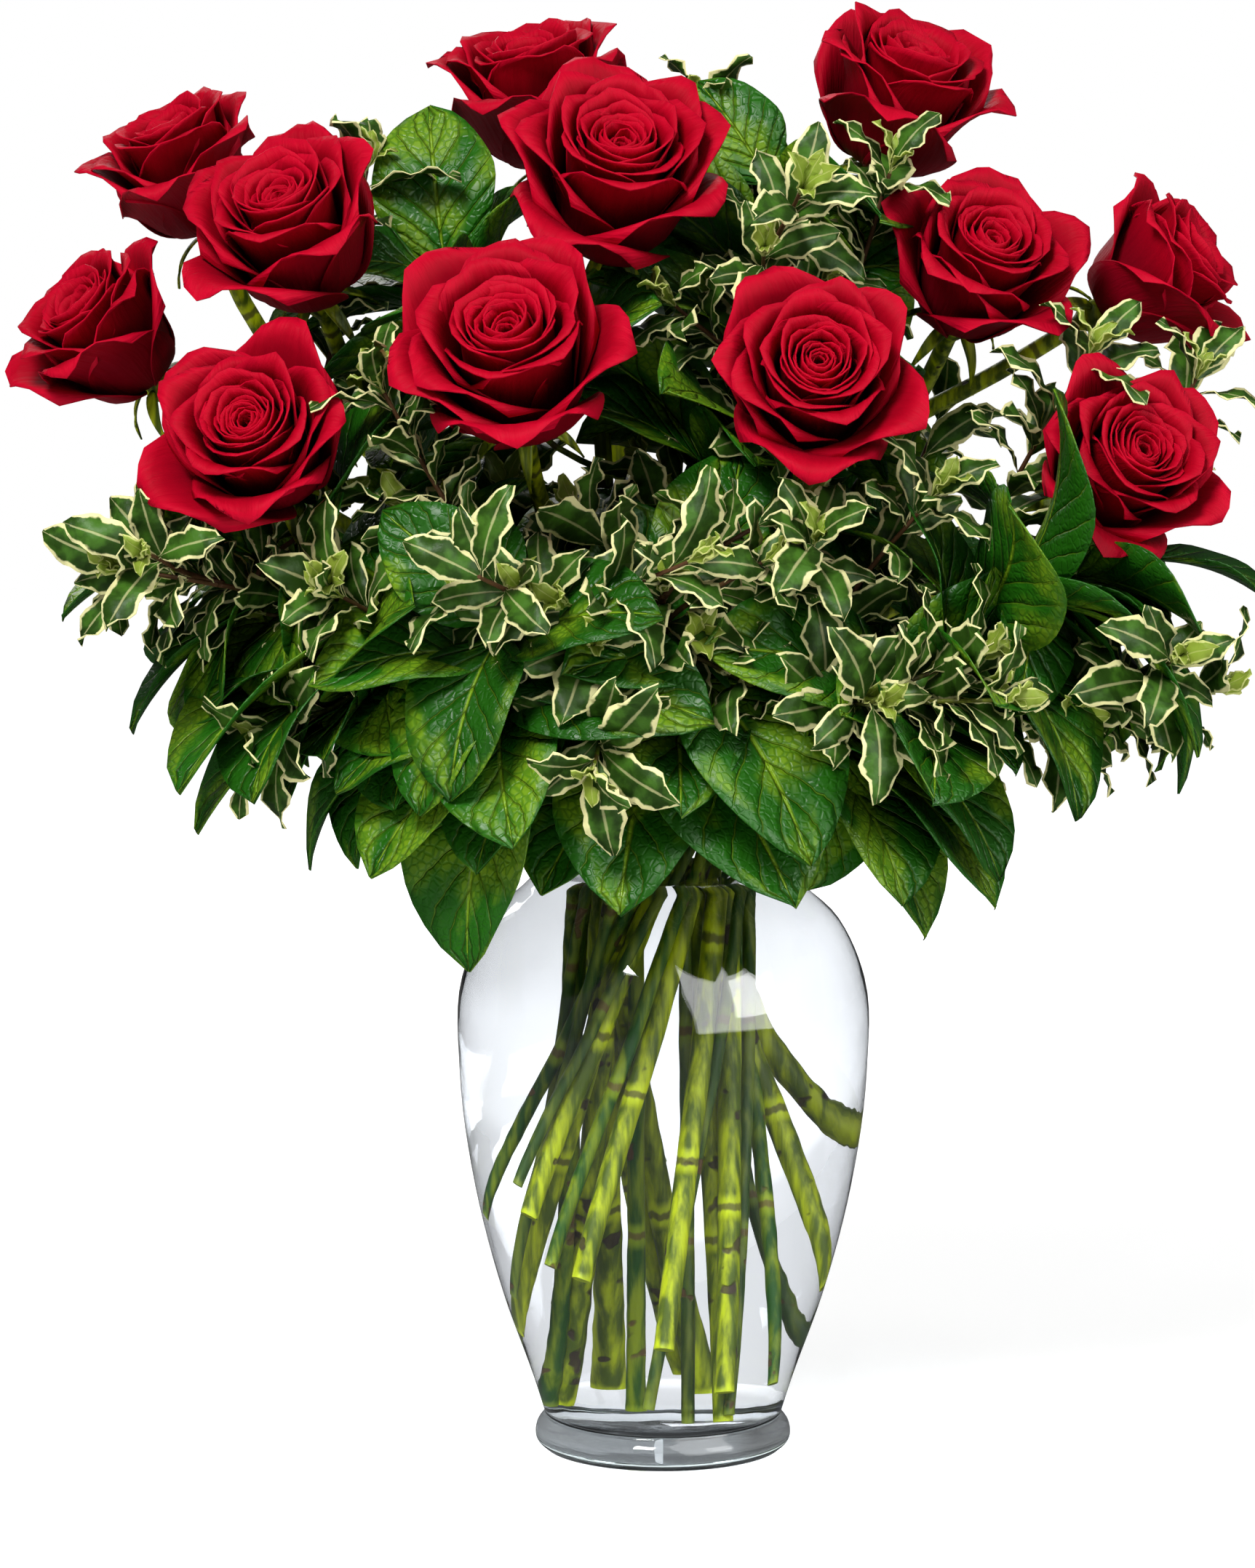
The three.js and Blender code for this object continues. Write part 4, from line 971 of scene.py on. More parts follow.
def salal_leaves(tree, stem, leaves, random):
    """The salal leaves of one stem or twig."""
    path = sampled(stem["curve"], stem["spans"], RINGS_PER_SPAN)
    rows = []
    for order, (place, tip) in enumerate(leaves):
        base = along(path, place + 1)
        facing = outward_from(base.lerp(Vector(tip), 0.5))
        tried = settled(tree, SALAL_SOLID, base, Vector(tip), facing, order) or Vector(tip)
        share = TURNED_BY * min(1, max(0, blend(tried.z, TURNED_FROM, (0, 1))))
        turned = facing.lerp(TOWARDS_FRONT, share)
        rows.append(leaf_row(stem["curve"](place + 1), tried, turned, order, next(random)))
    return rows


def rosette(tree, stem, count, seed):
    """The pittosporum leaves on the end of one stem or twig, as the solids have them."""
    random = seeded(seed)
    path = sampled(stem["curve"], stem["spans"], RINGS_PER_SPAN)
    last = stem["spans"]
    axis = (path[-1] - path[-2]).normalized()
    span = (path[-1] - along(path, last - 1)).length
    tilts, shares = ROSETTE["tilt"], ROSETTE["share"]
    rows = []
    for k in range(count):
        age = (k + 1) / count
        turn = math.radians(GOLDEN_ANGLE * k + spread(random, ROSETTE["turn_play"]))
        tilt = math.radians(tilts[0] + tilts[1] * age + spread(random, ROSETTE["tilt_play"]))
        share = (shares[0] + shares[1] * age) * (1 + spread(random, ROSETTE["share_play"]))
        phase = RIPPLE_START * next(random)
        base = along(path, last - ROSETTE["spacing"] * k / span)
        tip = base + leaning(axis, tilt, turn) * (ROSETTE["leaf"] * share)
        tried = settled(tree, PITTOSPORUM_SOLID, base, tip, axis, phase) or tip
        rows.append(leaf_row(base, tried, axis, phase, age))
    return rows


def new_growth(stem, random):
    """The small new leaves on the end of a stem or twig."""
    curve, spans = stem["curve"], stem["spans"]
    end = curve(spans)
    axis = (end - curve(spans - NUDGE)).normalized()
    rows = []
    for number in range(NEW_GROWTH["count"]):
        turn = math.radians(GOLDEN_ANGLE * number)
        tilt = math.radians(between(random, NEW_GROWTH["tilt"]))
        tip = end + leaning(axis, tilt, turn) * between(random, NEW_GROWTH["size"])
        if in_box(tip):
            rows.append(leaf_row(end, tip, axis, RIPPLE_START * next(random), 0.0))
    return rows


def solids_called(*endings):
    """The solids whose names end so, as one thing to keep clear of, in millimetres."""
    corners, faces = [], []
    for name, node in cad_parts.items():
        if name.endswith(endings):
            first = len(corners)
            corners += [vertex.co / MM for vertex in node.data.vertices]
            faces += [[first + k for k in face.vertices] for face in node.data.polygons]
    return BVHTree.FromPolygons(corners, faces)


def in_box(point):
    """Whether a point is inside the solids' box, short of its sides by the inset."""
    low, high = CAD_BOX
    return all(low[k] / MM + INSET[k] < point[k] < high[k] / MM - INSET[k] for k in range(3))


class Space:
    """The room for further leaves: clear of the solids and of leaves, and not in front of a bloom."""

    def __init__(self):
        self.solid = solids_called("vase", "_bloom")
        self.blooms = solids_called("_bloom")
        self.taken = []

    def take(self, *rows):
        """Keeps further leaves away from the middles of these."""
        self.taken += [row["base"] + row["lengthwise"] * (row["length"] * LEAF_MIDDLE) for row in rows]

    def hides(self, points):
        """Whether one of the points stands in front of a bloom, as seen by the camera."""
        eye = Vector(CAMERA_PLACE) / MM
        return any(self.blooms.ray_cast(point, point - eye, BEHIND)[0] for point in points)

    def clear(self, point, room):
        """Whether a point has room on all sides to the solids."""
        return self.solid.find_nearest(point)[3] > room

    def passes(self, *points):
        """Whether a line through the points meets no solid."""
        pairs = zip(points, points[1:])
        return not any(self.solid.ray_cast(a, b - a, (b - a).length)[0] for a, b in pairs)

    def fits(self, row, rule):
        """Whether a leaf would lie clear of the solids and of the other leaves, inside the CAD box."""
        base, tip = row["base"], row["base"] + row["lengthwise"] * row["length"]
        middle = base.lerp(tip, LEAF_MIDDLE)
        aside = row["sideways"] * (row["length"] * rule["width"])
        sides = (middle + aside, middle - aside)
        if not all(in_box(point) for point in (tip, *sides)):
            return False
        if any((middle - other).length < rule["apart"] for other in self.taken):
            return False
        corners = (tip, middle, *sides)
        if self.hides(corners) or not all(self.clear(point, rule["clear"]) for point in corners):
            return False
        return all(self.passes(base, middle + aside * side, tip) for side in (-1, 0, 1))


def between(random, ends):
    return ends[0] + (ends[1] - ends[0]) * next(random)


def more_leaves(space, stem, rule, random):
    """More leaves in a spiral along a stem or twig, wherever one has room."""
    curve, spans = stem["curve"], stem["spans"]
    rows = []
    place = rule["from"]
    number = 0
    while place < spans:
        base = curve(place)
        axis = way_of(curve, place)
        for _ in range(rule["tries"]):
            number += 1
            turn = math.radians(GOLDEN_ANGLE * number)
            way = leaning(axis, math.radians(between(random, rule["tilt"])), turn)
            way.z -= rule["hang"] * next(random)
            tip = base + way.normalized() * between(random, rule["size"])
            facing = axis.lerp(outward_from(base.lerp(tip, 0.5)), rule["facing"])
            phase = RIPPLE_START * next(random)
            row = leaf_row(base, tip, facing, phase, between(random, GROWN))
            if space.fits(row, rule):
                rows.append(row)
                space.take(row)
                break
        place += rule["every"] / (curve(place + 0.5) - curve(place - 0.5)).length
    return rows


def side_twigs(space, stem, random):
    """Short twigs that spread from a stem, wherever they have room."""
    curve, spans = stem["curve"], stem["spans"]
    twigs = []
    for number in range(SIDE_TWIGS["count"]):
        place = SIDE_TWIGS["from"] + (spans - SIDE_TWIGS["from"]) * (number + 0.5) / SIDE_TWIGS["count"]
        start = curve(place)
        axis = way_of(curve, place)
        for attempt in range(SIDE_TWIGS["tries"]):
            way = round_point(1, GOLDEN_ANGLE * (number + attempt) + SIDE_TWIGS["swing"] * next(random), 0)
            rise = Vector((0, 0, SIDE_TWIGS["rise"] * next(random)))
            way = (way + axis * SIDE_TWIGS["along"] + rise).normalized()
            end = start + way * between(random, SIDE_TWIGS["reach"])
            if not in_box(end + way * SIDE_TWIGS["clear"]):
                continue
            if space.passes(start, end) and space.clear(end, SIDE_TWIGS["clear"]):
                twigs.append({"curve": flowing([start, end], (way + axis).normalized()), "spans": 1})
                break
    return twigs


def salal_growth(branch, order, space):
    """The leaves of a salal branch: those that the solids have, and more of them."""
    random = seeded(order + 1)
    rows = []
    for found, part in branch["parts"]:
        rows += salal_leaves(branch["tree"], found, part["leaves"], random)
    space.take(*rows)
    for found, _ in branch["parts"]:
        rows += more_leaves(space, found, MORE_SALAL, random)
    return rows


def pittosporum_growth(branch, order, space):
    """The leaves of a pittosporum sprig, with more of them on short side twigs that it adds."""
    seed = 10 * order + 1
    random = seeded(seed)
    rows = []
    for k, (found, part) in enumerate(branch["parts"]):
        rows += rosette(branch["tree"], found, part["leaves"], seed + k)
    space.take(*rows)
    stem, *twigs = (found for found, _ in branch["parts"])
    further = side_twigs(space, stem, random)
    radius = PITTOSPORUM_KIND["radii"][1]
    branch["bars"] += [twig_bar(found, radius, SIDE_TWIGS["taper"]) for found in further]
    for found in (*twigs, *further, stem):
        rows += more_leaves(space, found, MORE_PITTOSPORUM, random)
        rows += new_growth(found, random)
    return rows


def leafy_branch(name, row, radius, twig_radius):
    """The stem and twigs of one branch, each with its row of the table, and the bars that make them."""
    tree = corners_of(name)
    ends = (radius, radius * STEM_TAPER)
    stem = find_stem(name, row["waist"], row["foot"], ends,
                     lambda foot, waist, bow: [Vector(point) + bow for point in row["points"]])
    twigs = [find_twig(name, tree, stem, part, twig_radius) for part in row["twigs"]]
    bars = [bar(stem_points(stem), ends), *(twig_bar(found, twig_radius, TWIG_TAPER) for found in twigs)]
    return {"tree": tree, "parts": [(stem, row), *zip(twigs, row["twigs"])], "bars": bars}


def add_greens(plants, kind, bark, leaf_material, growth):
    """Adds the stalks and the leaves of each branch of one kind."""
    space = Space()
    tubes, leaves = tube_shape(), leaf_shape()
    leaf_values = {"Material": leaf_material, **kind["leaf"]}
    for order, (name, row) in enumerate(plants.items()):
        branch = leafy_branch(name, row, *kind["radii"])
        rows = growth(branch, order, space)
        stalks = path_mesh("Stalks", branch["bars"])
        add_piece(f"{name}_{kind['stalks']}", stalks, tubes, {"Material": bark}, kind["slot"], name)
        add_piece(f"{name}_leaves", points_mesh("Leaves", rows), leaves, leaf_values, kind["slot"], name)


def petal_rows(seed, count):
    """The petals of one bloom from its heart outwards. Each row is one petal's shape."""
    random = seeded(seed)
    rows = []
    for number in range(count):
        place = number / (count - 1)
        outer = number - (count - OUTER_PETALS)
        turn = GOLDEN_ANGLE * number if outer < 0 else OUTER_TURN * outer
        row = {label: blend(place, PETAL_PLACE, levels) for label, levels in PETAL_SHAPE.items()}
        row["turn"] = turn
        for label, (play, growth) in PETAL_PLAY.items():
            row[label] += spread(random, play + growth * place)
        row["turn"] = math.radians(row["turn"])
        row["petal_length"] *= 1 + spread(random, LENGTH_PLAY)
        row["point"] = PETAL_POINT * max(0, (place - POINTED_FROM) / (1 - POINTED_FROM))
        row["rolled"] = ROLLED[0] + ROLLED[1] * max(0, (place - 0.5) / 0.5)
        row["phase"] = spread(random, 3)
        row["second_phase"] = spread(random, 3)
        row["tone"] = next(random)
        rows.append({"place": Vector((0, 0, number)), "petal_place": place, **row})
    return rows


def see_through(finish, values, tint, depth):
    """Ends a clear material. Light from the lamps passes it without a dark shadow, and its depth,
    a colour and a density, takes light away along the way through it."""
    values = {"Roughness": 0.0, "Transmission Weight": 1.0, **values}
    shader = finish.add("ShaderNodeBsdfPrincipled", values)
    passing = finish.add("ShaderNodeBsdfTransparent", {"Color": (*tint, 1)})
    shadow = finish.add("ShaderNodeLightPath")["Is Shadow Ray"]
    mixed = finish.add("ShaderNodeMixShader", {0: shadow, 1: shader, 2: passing})
    colour, density = depth
    taken = finish.add("ShaderNodeVolumeAbsorption", {"Color": (*colour, 1), "Density": density})
    finish.add("ShaderNodeOutputMaterial", {"Surface": mixed, "Volume": taken})
    return finish.material


def glass_finish(tint):
    finish = Finish("Clear glass")
    uneven = finish.bump(finish.noise(finish.place(24), 1.0, 2), 0.0006)
    values = {"Base Color": (*tint, 1), "IOR": 1.5, "Normal": uneven}
    return see_through(finish, values, (0.93, 0.94, 0.96), ((0.25, 0.62, 0.58), 3.2))


def water_finish():
    values = {"Base Color": (0.985, 0.995, 1.0, 1), "IOR": 1.33}
    return see_through(Finish("Water"), values, (0.97, 0.98, 0.98), ((0.7, 0.85, 0.75), 0.5))


def petal_finish(red, rim_highlight_red):
    finish = Finish("Rose petal")
    across, length = finish.sheet("petal")
    place = finish.attribute("petal_place")
    veins = finish.noise(finish.vector(across * 16, length * 2.5, finish.attribute("tone") * 9), 1.0, 4)
    # Painted highlight: the petals' rims and outer corners are mixed towards the lighter rim red, as where
    # light catches them.
    rim = finish.smooth(length + abs(across) ** 3 * 0.1 + veins * 0.1, 0.88, 1.12)
    # Painted shade: each petal darkens towards its root, down to a tenth of its red, where the folds deep in
    # the bloom are shaded.
    deep = finish.mix(finish.smooth(length + veins * 0.12, 0.52, 1.05), [c * 0.1 for c in red], red)
    colour = finish.mix(rim * 0.8, deep, rim_highlight_red)
    mottled = finish.mix(finish.noise(finish.place(), 90) * 0.45, colour, [c * 0.4 for c in red])
    # Painted light and shade: the outermost petals are mixed a quarter of the way towards the rim red, so
    # the inner petals stay darker as if shaded.
    outer = finish.mix(finish.smooth(place, 0.75, 1.0) * 0.25, mottled, rim_highlight_red)
    return finish.shade({
        "Base Color": outer, "Roughness": 0.48 + veins * 0.1, "Sheen Weight": 0.02, "Sheen Roughness": 0.4,
        "Sheen Tint": (1, 0.05, 0.1, 1), "Specular IOR Level": 0.04,
        "Normal": finish.bump(veins, 0.0008, 0.8),
    })


def stem_finish(name, green, shade_colour, scar, bark=None):
    """Streaky stems with a ring at each node and scars. Where a bark is given, they turn to it higher up."""
    finish = Finish(name)
    across, deep, up = finish.parts(finish.place())
    length = finish.attribute("length")
    streak = finish.noise(finish.vector(across, deep, up * 0.1), 280, 4)
    colour = finish.mix(finish.smooth(streak, 0.3, 0.62), green, shade_colour)
    ringed_at = abs((length * 13 + streak * 0.06) % 1 - 0.5)
    light = finish.smooth(ringed_at, 0.42, 0.47)
    dark = finish.smooth(ringed_at, 0.475, 0.49)
    ringed = finish.mix(light * 0.5, colour, [min(1, c * 1.7) for c in green])
    noded = finish.mix(dark * 0.75, ringed, scar)
    spots = finish.smooth(finish.noise(finish.place(), 95, 2), 0.64, 0.68)
    marked = finish.mix(spots * 0.85, noded, scar)
    if bark:
        marked = finish.mix(finish.smooth(up + streak * 0.04, *BARK_FROM), marked, bark)
    return finish.shade({
        "Base Color": marked, "Roughness": 0.45, "Specular IOR Level": 0.2,
        "Normal": finish.bump(streak + light * 0.5 - spots * 0.5, 0.0009),
    })


def salal_finish(green, vein_and_highlight_green):
    finish = Finish("Salal leaf")
    across, length = finish.sheet("leaf")
    side = abs(across)
    tone = finish.attribute("tone")
    mottle = finish.noise(finish.place(), 60, 4)
    values = {"Vector": finish.place(), "Scale": 300.0}
    mesh = finish.smooth(finish.add("ShaderNodeTexVoronoi", values, feature="DISTANCE_TO_EDGE"), 0.02, 0.22)
    # Painted highlight: broad random patches of each leaf are painted lit, mixed towards the vein green over
    # the fine vein network.
    patches = finish.noise(finish.vector(across * 0.5, length, tone * 20), 2.2, 2)
    lit = finish.smooth(patches + tone * 0.12, 0.54, 0.7)
    dark = finish.mix(tone * 0.6 + mottle * 0.5, green, [c * 2.2 for c in green])
    base = finish.mix(lit * (mesh * 0.35 + 0.35), dark, vein_and_highlight_green)
    rib = 1 - finish.smooth(side, 0.01, 0.05)
    wobble = finish.noise(finish.vector(across, length * 3, tone * 5), 3.0, 2)
    ways = abs((length * 7 - side ** 0.8 * 2.4 + wobble * 0.3) % 1 - 0.5)
    branches = finish.smooth(ways, 0.44, 0.5) * (1 - finish.smooth(side, 0.7, 1.0))
    colour = finish.mix(finish.maths("MAXIMUM", rib * 0.8, branches * 0.4), base, vein_and_highlight_green)
    height = mottle * 0.3 - rib * 0.8 - branches * 0.9 + mesh * 0.16 - finish.smooth(ways, 0.25, 0.5) * 0.5
    return finish.shade({
        "Base Color": colour, "Roughness": 0.3 + mottle * 0.16, "Normal": finish.bump(height, 0.0012),
        "Specular IOR Level": 0.3,
    })


def pittosporum_finish(green, cream):
    finish = Finish("Pittosporum leaf")
    across, length = finish.sheet("leaf")
    side = abs(across)
    tone = finish.attribute("tone")
    blotch = finish.noise(finish.place(), 130, 3)
    fine = finish.noise(finish.place(), 420, 3)
    base = finish.mix(finish.smooth(blotch, 0.4, 0.65), green, [c * 2.6 for c in green])
    margin = finish.smooth(side + (blotch - 0.5) * 0.6 + finish.smooth(length, 0.9, 1.0) * 0.1, 0.76, 0.86)
    rib = (1 - finish.smooth(side, 0.03, 0.1)) * 0.35
    colour = finish.mix(margin, finish.mix(rib, base, cream), cream)
    fresh = finish.mix((1 - finish.smooth(tone, 0.05, 0.16)) * 0.6, colour, (0.36, 0.46, 0.05))
    height = fine * 0.4 - rib * 0.6
    return finish.shade({
        "Base Color": fresh, "Roughness": 0.36 + fine * 0.12, "Normal": finish.bump(height, 0.0006),
        "Specular IOR Level": 0.18,
    })


def floor_finish(pale):
    """A pale floor that glows a little towards its far edge, so that it ends without a line."""
    finish = Finish("Pale floor")
    place = finish.place()
    distance = finish.add("ShaderNodeVectorMath", {0: place}, operation="LENGTH")["Value"]
    low, high = FLOOR_GLOW
    # Painted shadow: the glow is dimmed round the middle, under and near the vase, as a contact shadow.
    away = finish.smooth(distance, *CONTACT_SHADOW_REACH) * CONTACT_SHADOW_DEPTH + (1 - CONTACT_SHADOW_DEPTH)
    glow = finish.smooth(distance, *FLOOR_GLOW_FROM) * (high - low) + away * low
    grain = finish.noise(place, 400, 2)
    shader = finish.add("ShaderNodeBsdfPrincipled", {
        "Base Color": (*pale, 1), "Roughness": 0.6 + grain * 0.05, "Specular IOR Level": 0.1,
    })
    shining = finish.mix(glow * seen_directly(finish), (0, 0, 0), (1, 1, 1))
    shine = finish.add("ShaderNodeEmission", {"Color": shining, "Strength": 1.0})
    both = finish.add("ShaderNodeAddShader", {0: shader, 1: shine})
    dark = finish.add("ShaderNodeBsdfDiffuse", {"Color": (0, 0, 0, 1)})
    dimming = mirrored(finish) * MIRRORED_DIMMING
    dimmed = finish.add("ShaderNodeMixShader", {0: dimming, 1: both, 2: dark})
    finish.add("ShaderNodeOutputMaterial", {"Surface": dimmed})
    return finish.material


def mirrored(net):
    """1 for light that a surface mirrors on its way, and 0 for all other light."""
    return net.maths("MINIMUM", net.add("ShaderNodeLightPath")["Glossy Depth"], 1.0)


def seen_directly(net):
    """1 for what is looked at, also through clear glass, and 0 for light on its way elsewhere."""
    light = net.add("ShaderNodeLightPath")
    straight = 1 - net.maths("MINIMUM", light["Diffuse Depth"], 1.0)
    return net.maths("MAXIMUM", light["Is Camera Ray"], light["Is Transmission Ray"]) * straight


def colour_property(name, description, default):
    return FloatVectorProperty(name=name, description=description, default=default,
                               subtype="COLOR", size=3, min=0, max=1)


class VaseSettings(PropertyGroup):
    sides: IntProperty(name="Sides", description="Faces round the vase", default=96, min=24, max=160)
    tint: colour_property("Glass tint", "Colour that the glass gives to what is seen through it",
                          (0.968, 0.974, 1.0))


class BloomSettings(PropertyGroup):
    petals: IntProperty(name="Petals", description="Petals of each bloom", default=36, min=12, max=60)
    thickness: FloatProperty(name="Petal thickness", description="Thickness of a petal",
                             default=0.0005, unit="LENGTH", subtype="DISTANCE")
    red: colour_property("Petal red", "Colour of the petals' faces", (0.36, 0.0, 0.008))
    # Painted highlight: the lighter red that the petals' rims and the outermost petals are painted with.
    rim_highlight_red: colour_property("Rim highlight red", "Painted highlight on the petals' rims", (0.66, 0.003, 0.03))


class StemSettings(PropertyGroup):
    green: colour_property("Stem green", "Colour of the rose stems", (0.4, 0.47, 0.004))
    shade_green: colour_property("Shaded green", "Darker colour of the rose stems", (0.06, 0.095, 0.003))
    scar: colour_property("Scars", "Colour of the scars where leaves and thorns came off",
                          (0.03, 0.01, 0.015))


class GreensSettings(PropertyGroup):
    salal: colour_property("Salal green", "Colour of the salal leaves", (0.008, 0.062, 0.002))
    # The vein green also paints the highlight on the lit patches of the salal leaves.
    salal_vein_and_highlight: colour_property("Salal veins and highlights", "Colour of the salal leaves' veins and painted highlights", (0.22, 0.38, 0.012))
    salal_bark: colour_property("Salal stem", "Colour of the salal stems", (0.2, 0.26, 0.005))
    pittosporum: colour_property("Pittosporum green", "Colour of the pittosporum leaves",
                                 (0.02, 0.056, 0.005))
    cream: colour_property("Pittosporum margins", "Colour of the pittosporum leaves' margins",
                           (0.86, 0.82, 0.4))
    bark: colour_property("Pittosporum bark", "Colour of the pittosporum twigs", (0.1, 0.045, 0.02))
    young_bark: colour_property("Pittosporum stem", "Colour of the pittosporum stems low down",
                                (0.13, 0.17, 0.012))


class StageSettings(PropertyGroup):
    floor: colour_property("Floor", "Colour of the floor", (0.9, 0.9, 0.9))
    sky: FloatProperty(name="Sky", description="Strength of the even light from all round",
                       default=0.3, min=0, max=4)


class ROSES_OT_vase(Operator):
    """Makes the clear glass vase"""

    bl_idname = "roses.vase"
    bl_label = "Vase"

    def execute(self, context):
        settings = context.scene.roses_vase
        inner = inside_outline(0)[:0:-1]
        wall = smooth_outline([FOOT_OUTLINE[-1], *WALL_OUTLINE, *LIP_OUTLINE])
        radius, top = LIP_OUTLINE[-1]
        lip = [(radius - inwards, top - down) for inwards, down in LIP_EDGE]
        lip_inside = (LIP_OUTLINE[0][0] - WALL_THICKNESS + LIP_THINNING, LIP_OUTLINE[0][1])
        hollow = smooth_outline([lip[-1], lip_inside, *inner])
        foot = smooth_outline(FOOT_OUTLINE[1:])
        outline = [FOOT_OUTLINE[0], *foot, *wall[1:], lip[0], *hollow, (0, FLOOR_TOP)]
        glass = glass_finish(settings.tint)
        add_turned("glass_vase", outline, settings.sides, glass, "vase_glass", "vase")
        return {"FINISHED"}


class ROSES_OT_water(Operator):
    """Fills the vase with water"""

    bl_idname = "roses.water"
    bl_label = "Water"

    def execute(self, context):
        settings = context.scene.roses_vase
        inside = [point for point in inside_outline(-WATER_OVERLAP) if point[1] < WATER_LEVEL]
        wall = inside_radius(WATER_LEVEL) + WATER_OVERLAP
        width, climb = WATER_EDGE
        side = smooth_outline([*inside[1:], (wall, WATER_LEVEL + climb)])
        outline = [inside[0], *side, (wall - width, WATER_LEVEL), (0, WATER_LEVEL)]
        add_turned("vase_water", outline, settings.sides, water_finish(), "water", "water")
        return {"FINISHED"}


class ROSES_OT_blooms(Operator):
    """Makes the twelve red blooms"""

    bl_idname = "roses.blooms"
    bl_label = "Blooms"

    def execute(self, context):
        settings = context.scene.roses_bloom
        shape = petal_shape()
        values = {"Thickness": settings.thickness / MM,
                  "Material": petal_finish(settings.red, settings.rim_highlight_red)}
        for number, row in enumerate(ROSES, 1):
            _, place = bloom_place(row)
            place = place @ Matrix.Translation((0, 0, BLOOM_GAP)) @ Matrix.Scale(row[3] / FULL_ROSE_WIDTH, 4)
            source = points_mesh("Petals", petal_rows(number, settings.petals))
            name = f"rose_{number:02d}"
            add_piece(f"{name}_petals", source, shape, values, "rose_petal", f"{name}_bloom",
                      matrix=Matrix.Scale(MM, 4) @ place)
        return {"FINISHED"}


class ROSES_OT_rose_stems(Operator):
    """Makes the rose stems with their swollen tops and sepals"""

    bl_idname = "roses.rose_stems"
    bl_label = "Rose stems"

    def execute(self, context):
        settings = context.scene.roses_stem
        stem_material = stem_finish("Rose stem", settings.green, settings.shade_green, settings.scar)
        sepal_material = stem_finish("Sepal", settings.green, settings.shade_green, settings.shade_green)
        tubes, leaves = tube_shape(), leaf_shape()
        values = {"Material": sepal_material, **SEPAL_LEAF}
        for number, row in enumerate(ROSES, 1):
            name = f"rose_{number:02d}"
            node = f"{name}_stem"
            source = path_mesh("Stem line", [rose_path(row, node)])
            add_piece(f"{name}_stalk", source, tubes, {"Material": stem_material}, "rose_stem", node)
            _, place = bloom_place(row)
            rows = []
            for k in range(SEPAL_COUNT):
                out = Matrix.Rotation(math.tau * k / SEPAL_COUNT, 4, "Z")
                base, tip, facing = (place @ out @ Vector(point) for point in SEPAL_LINE)
                rows.append(leaf_row(base, tip, facing - place.translation, k, k / SEPAL_COUNT))
            add_piece(f"{name}_sepals", points_mesh("Sepals", rows), leaves, values, "rose_stem", node)
        return {"FINISHED"}


class ROSES_OT_salal(Operator):
    """Makes the salal branches with their broad leaves"""

    bl_idname = "roses.salal"
    bl_label = "Salal"

    def execute(self, context):
        settings = context.scene.roses_greens
        bark = stem_finish("Salal stem", settings.salal_bark, settings.salal, settings.bark)
        leaf_material = salal_finish(settings.salal, settings.salal_vein_and_highlight)
        add_greens(SALAL, SALAL_KIND, bark, leaf_material, salal_growth)
        return {"FINISHED"}


class ROSES_OT_pittosporum(Operator):
    """Makes the pittosporum sprigs with their cream-edged leaves"""

    bl_idname = "roses.pittosporum"
    bl_label = "Pittosporum"

    def execute(self, context):
        settings = context.scene.roses_greens
        bark = stem_finish("Pittosporum twig", settings.young_bark, settings.pittosporum, settings.bark,
                           settings.bark)
        leaf_material = pittosporum_finish(settings.pittosporum, settings.cream)
        add_greens(PITTOSPORUM, PITTOSPORUM_KIND, bark, leaf_material, pittosporum_growth)
        return {"FINISHED"}


def add_lamp(name, place, aim, size, power):
    """A soft rectangular lamp that looks at a point."""
    light = bpy.data.lights.new(name, "AREA")
    light.shape = "RECTANGLE"
    light.size, light.size_y = size
    light.energy = power
    lamp = placed(name, light)
    lamp.location = place
    lamp.rotation_euler = (Vector(aim) - Vector(place)).to_track_quat("-Z", "Y").to_euler()
    return lamp


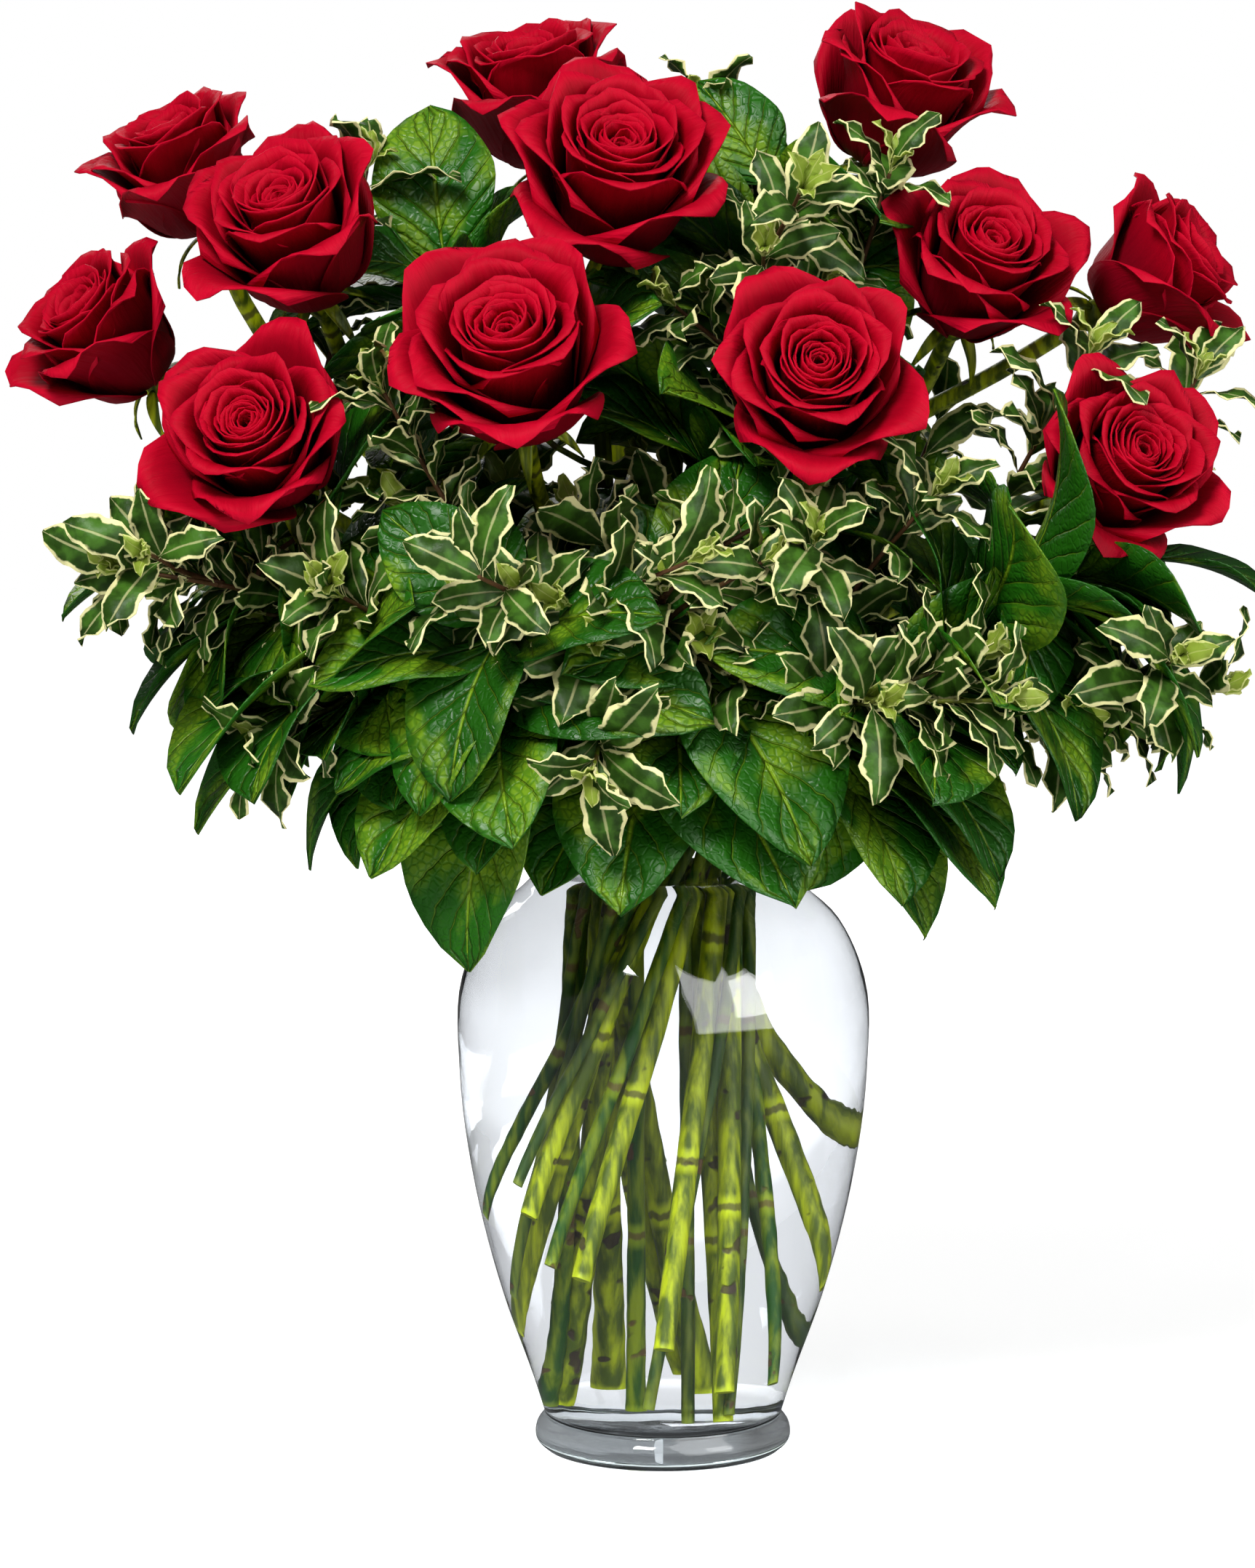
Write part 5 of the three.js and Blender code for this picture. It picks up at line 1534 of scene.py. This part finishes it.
class ROSES_OT_stage(Operator):
    """Sets up the floor, the lights and the camera"""

    bl_idname = "roses.stage"
    bl_label = "Stage"

    def execute(self, context):
        settings = context.scene.roses_stage
        scene = context.scene
        mesh = bpy.data.meshes.new("Floor")
        corners = [(-1, -1), (1, -1), (1, 1), (-1, 1)]
        mesh.from_pydata([(x * FLOOR_REACH, y * FLOOR_REACH, 0) for x, y in corners], [], [(0, 1, 2, 3)])
        mesh.materials.append(floor_finish(settings.floor))
        floor = placed("studio_floor", mesh)
        scene.world = bpy.data.worlds.new("Studio")
        scene.world.use_nodes = True
        scene.world.node_tree.nodes.clear()
        net = Net(scene.world.node_tree)
        dimmed = 1 - mirrored(net) * MIRRORED_DIMMING
        lit, plain = (net.add("ShaderNodeBackground", {"Color": (1, 1, 1, 1), "Strength": strength})
                      for strength in (dimmed * settings.sky, dimmed))
        mixed = net.add("ShaderNodeMixShader", {0: seen_directly(net), 1: lit, 2: plain})
        net.add("ShaderNodeOutputWorld", {"Surface": mixed})
        for lamp in LAMPS:
            add_lamp(*lamp)
        add_lamp(*WINDOW).visible_diffuse = False
        camera = bpy.data.cameras.new("Camera")
        camera.lens = CAMERA_LENS
        camera.clip_end = 100
        eye = placed("Camera", camera)
        eye.location = CAMERA_PLACE
        eye.rotation_euler = (math.radians(90 - CAMERA_PITCH), 0, 0)
        scene.camera = eye
        scene.view_settings.view_transform = "Standard"
        return {"FINISHED"}


class ROSES_PT_panel(Panel):
    """Lists the settings and the pieces"""

    bl_label = "Roses in a vase"
    bl_idname = "ROSES_PT_panel"
    bl_space_type = "VIEW_3D"
    bl_region_type = "UI"
    bl_category = "Roses"

    def draw(self, context):
        for label in SETTINGS:
            group = getattr(context.scene, label)
            box = self.layout.box()
            for name in group.bl_rna.properties.keys():
                if name not in ("rna_type", "name"):
                    box.prop(group, name)
        for operator in OPERATORS:
            self.layout.operator(operator.bl_idname)


SETTINGS = {
    "roses_vase": VaseSettings,
    "roses_bloom": BloomSettings,
    "roses_stem": StemSettings,
    "roses_greens": GreensSettings,
    "roses_stage": StageSettings,
}
OPERATORS = (
    ROSES_OT_vase,
    ROSES_OT_water,
    ROSES_OT_blooms,
    ROSES_OT_rose_stems,
    ROSES_OT_salal,
    ROSES_OT_pittosporum,
    ROSES_OT_stage,
)


def register():
    for cls in (*SETTINGS.values(), *OPERATORS, ROSES_PT_panel):
        bpy.utils.register_class(cls)
    for label, group in SETTINGS.items():
        setattr(bpy.types.Scene, label, PointerProperty(type=group))


def unregister():
    for label in SETTINGS:
        delattr(bpy.types.Scene, label)
    for cls in reversed((*SETTINGS.values(), *OPERATORS, ROSES_PT_panel)):
        bpy.utils.unregister_class(cls)


def main():
    register()
    for operator in OPERATORS:
        category, name = operator.bl_idname.split(".")
        getattr(getattr(bpy.ops, category), name)()


if __name__ == "__main__":
    main()
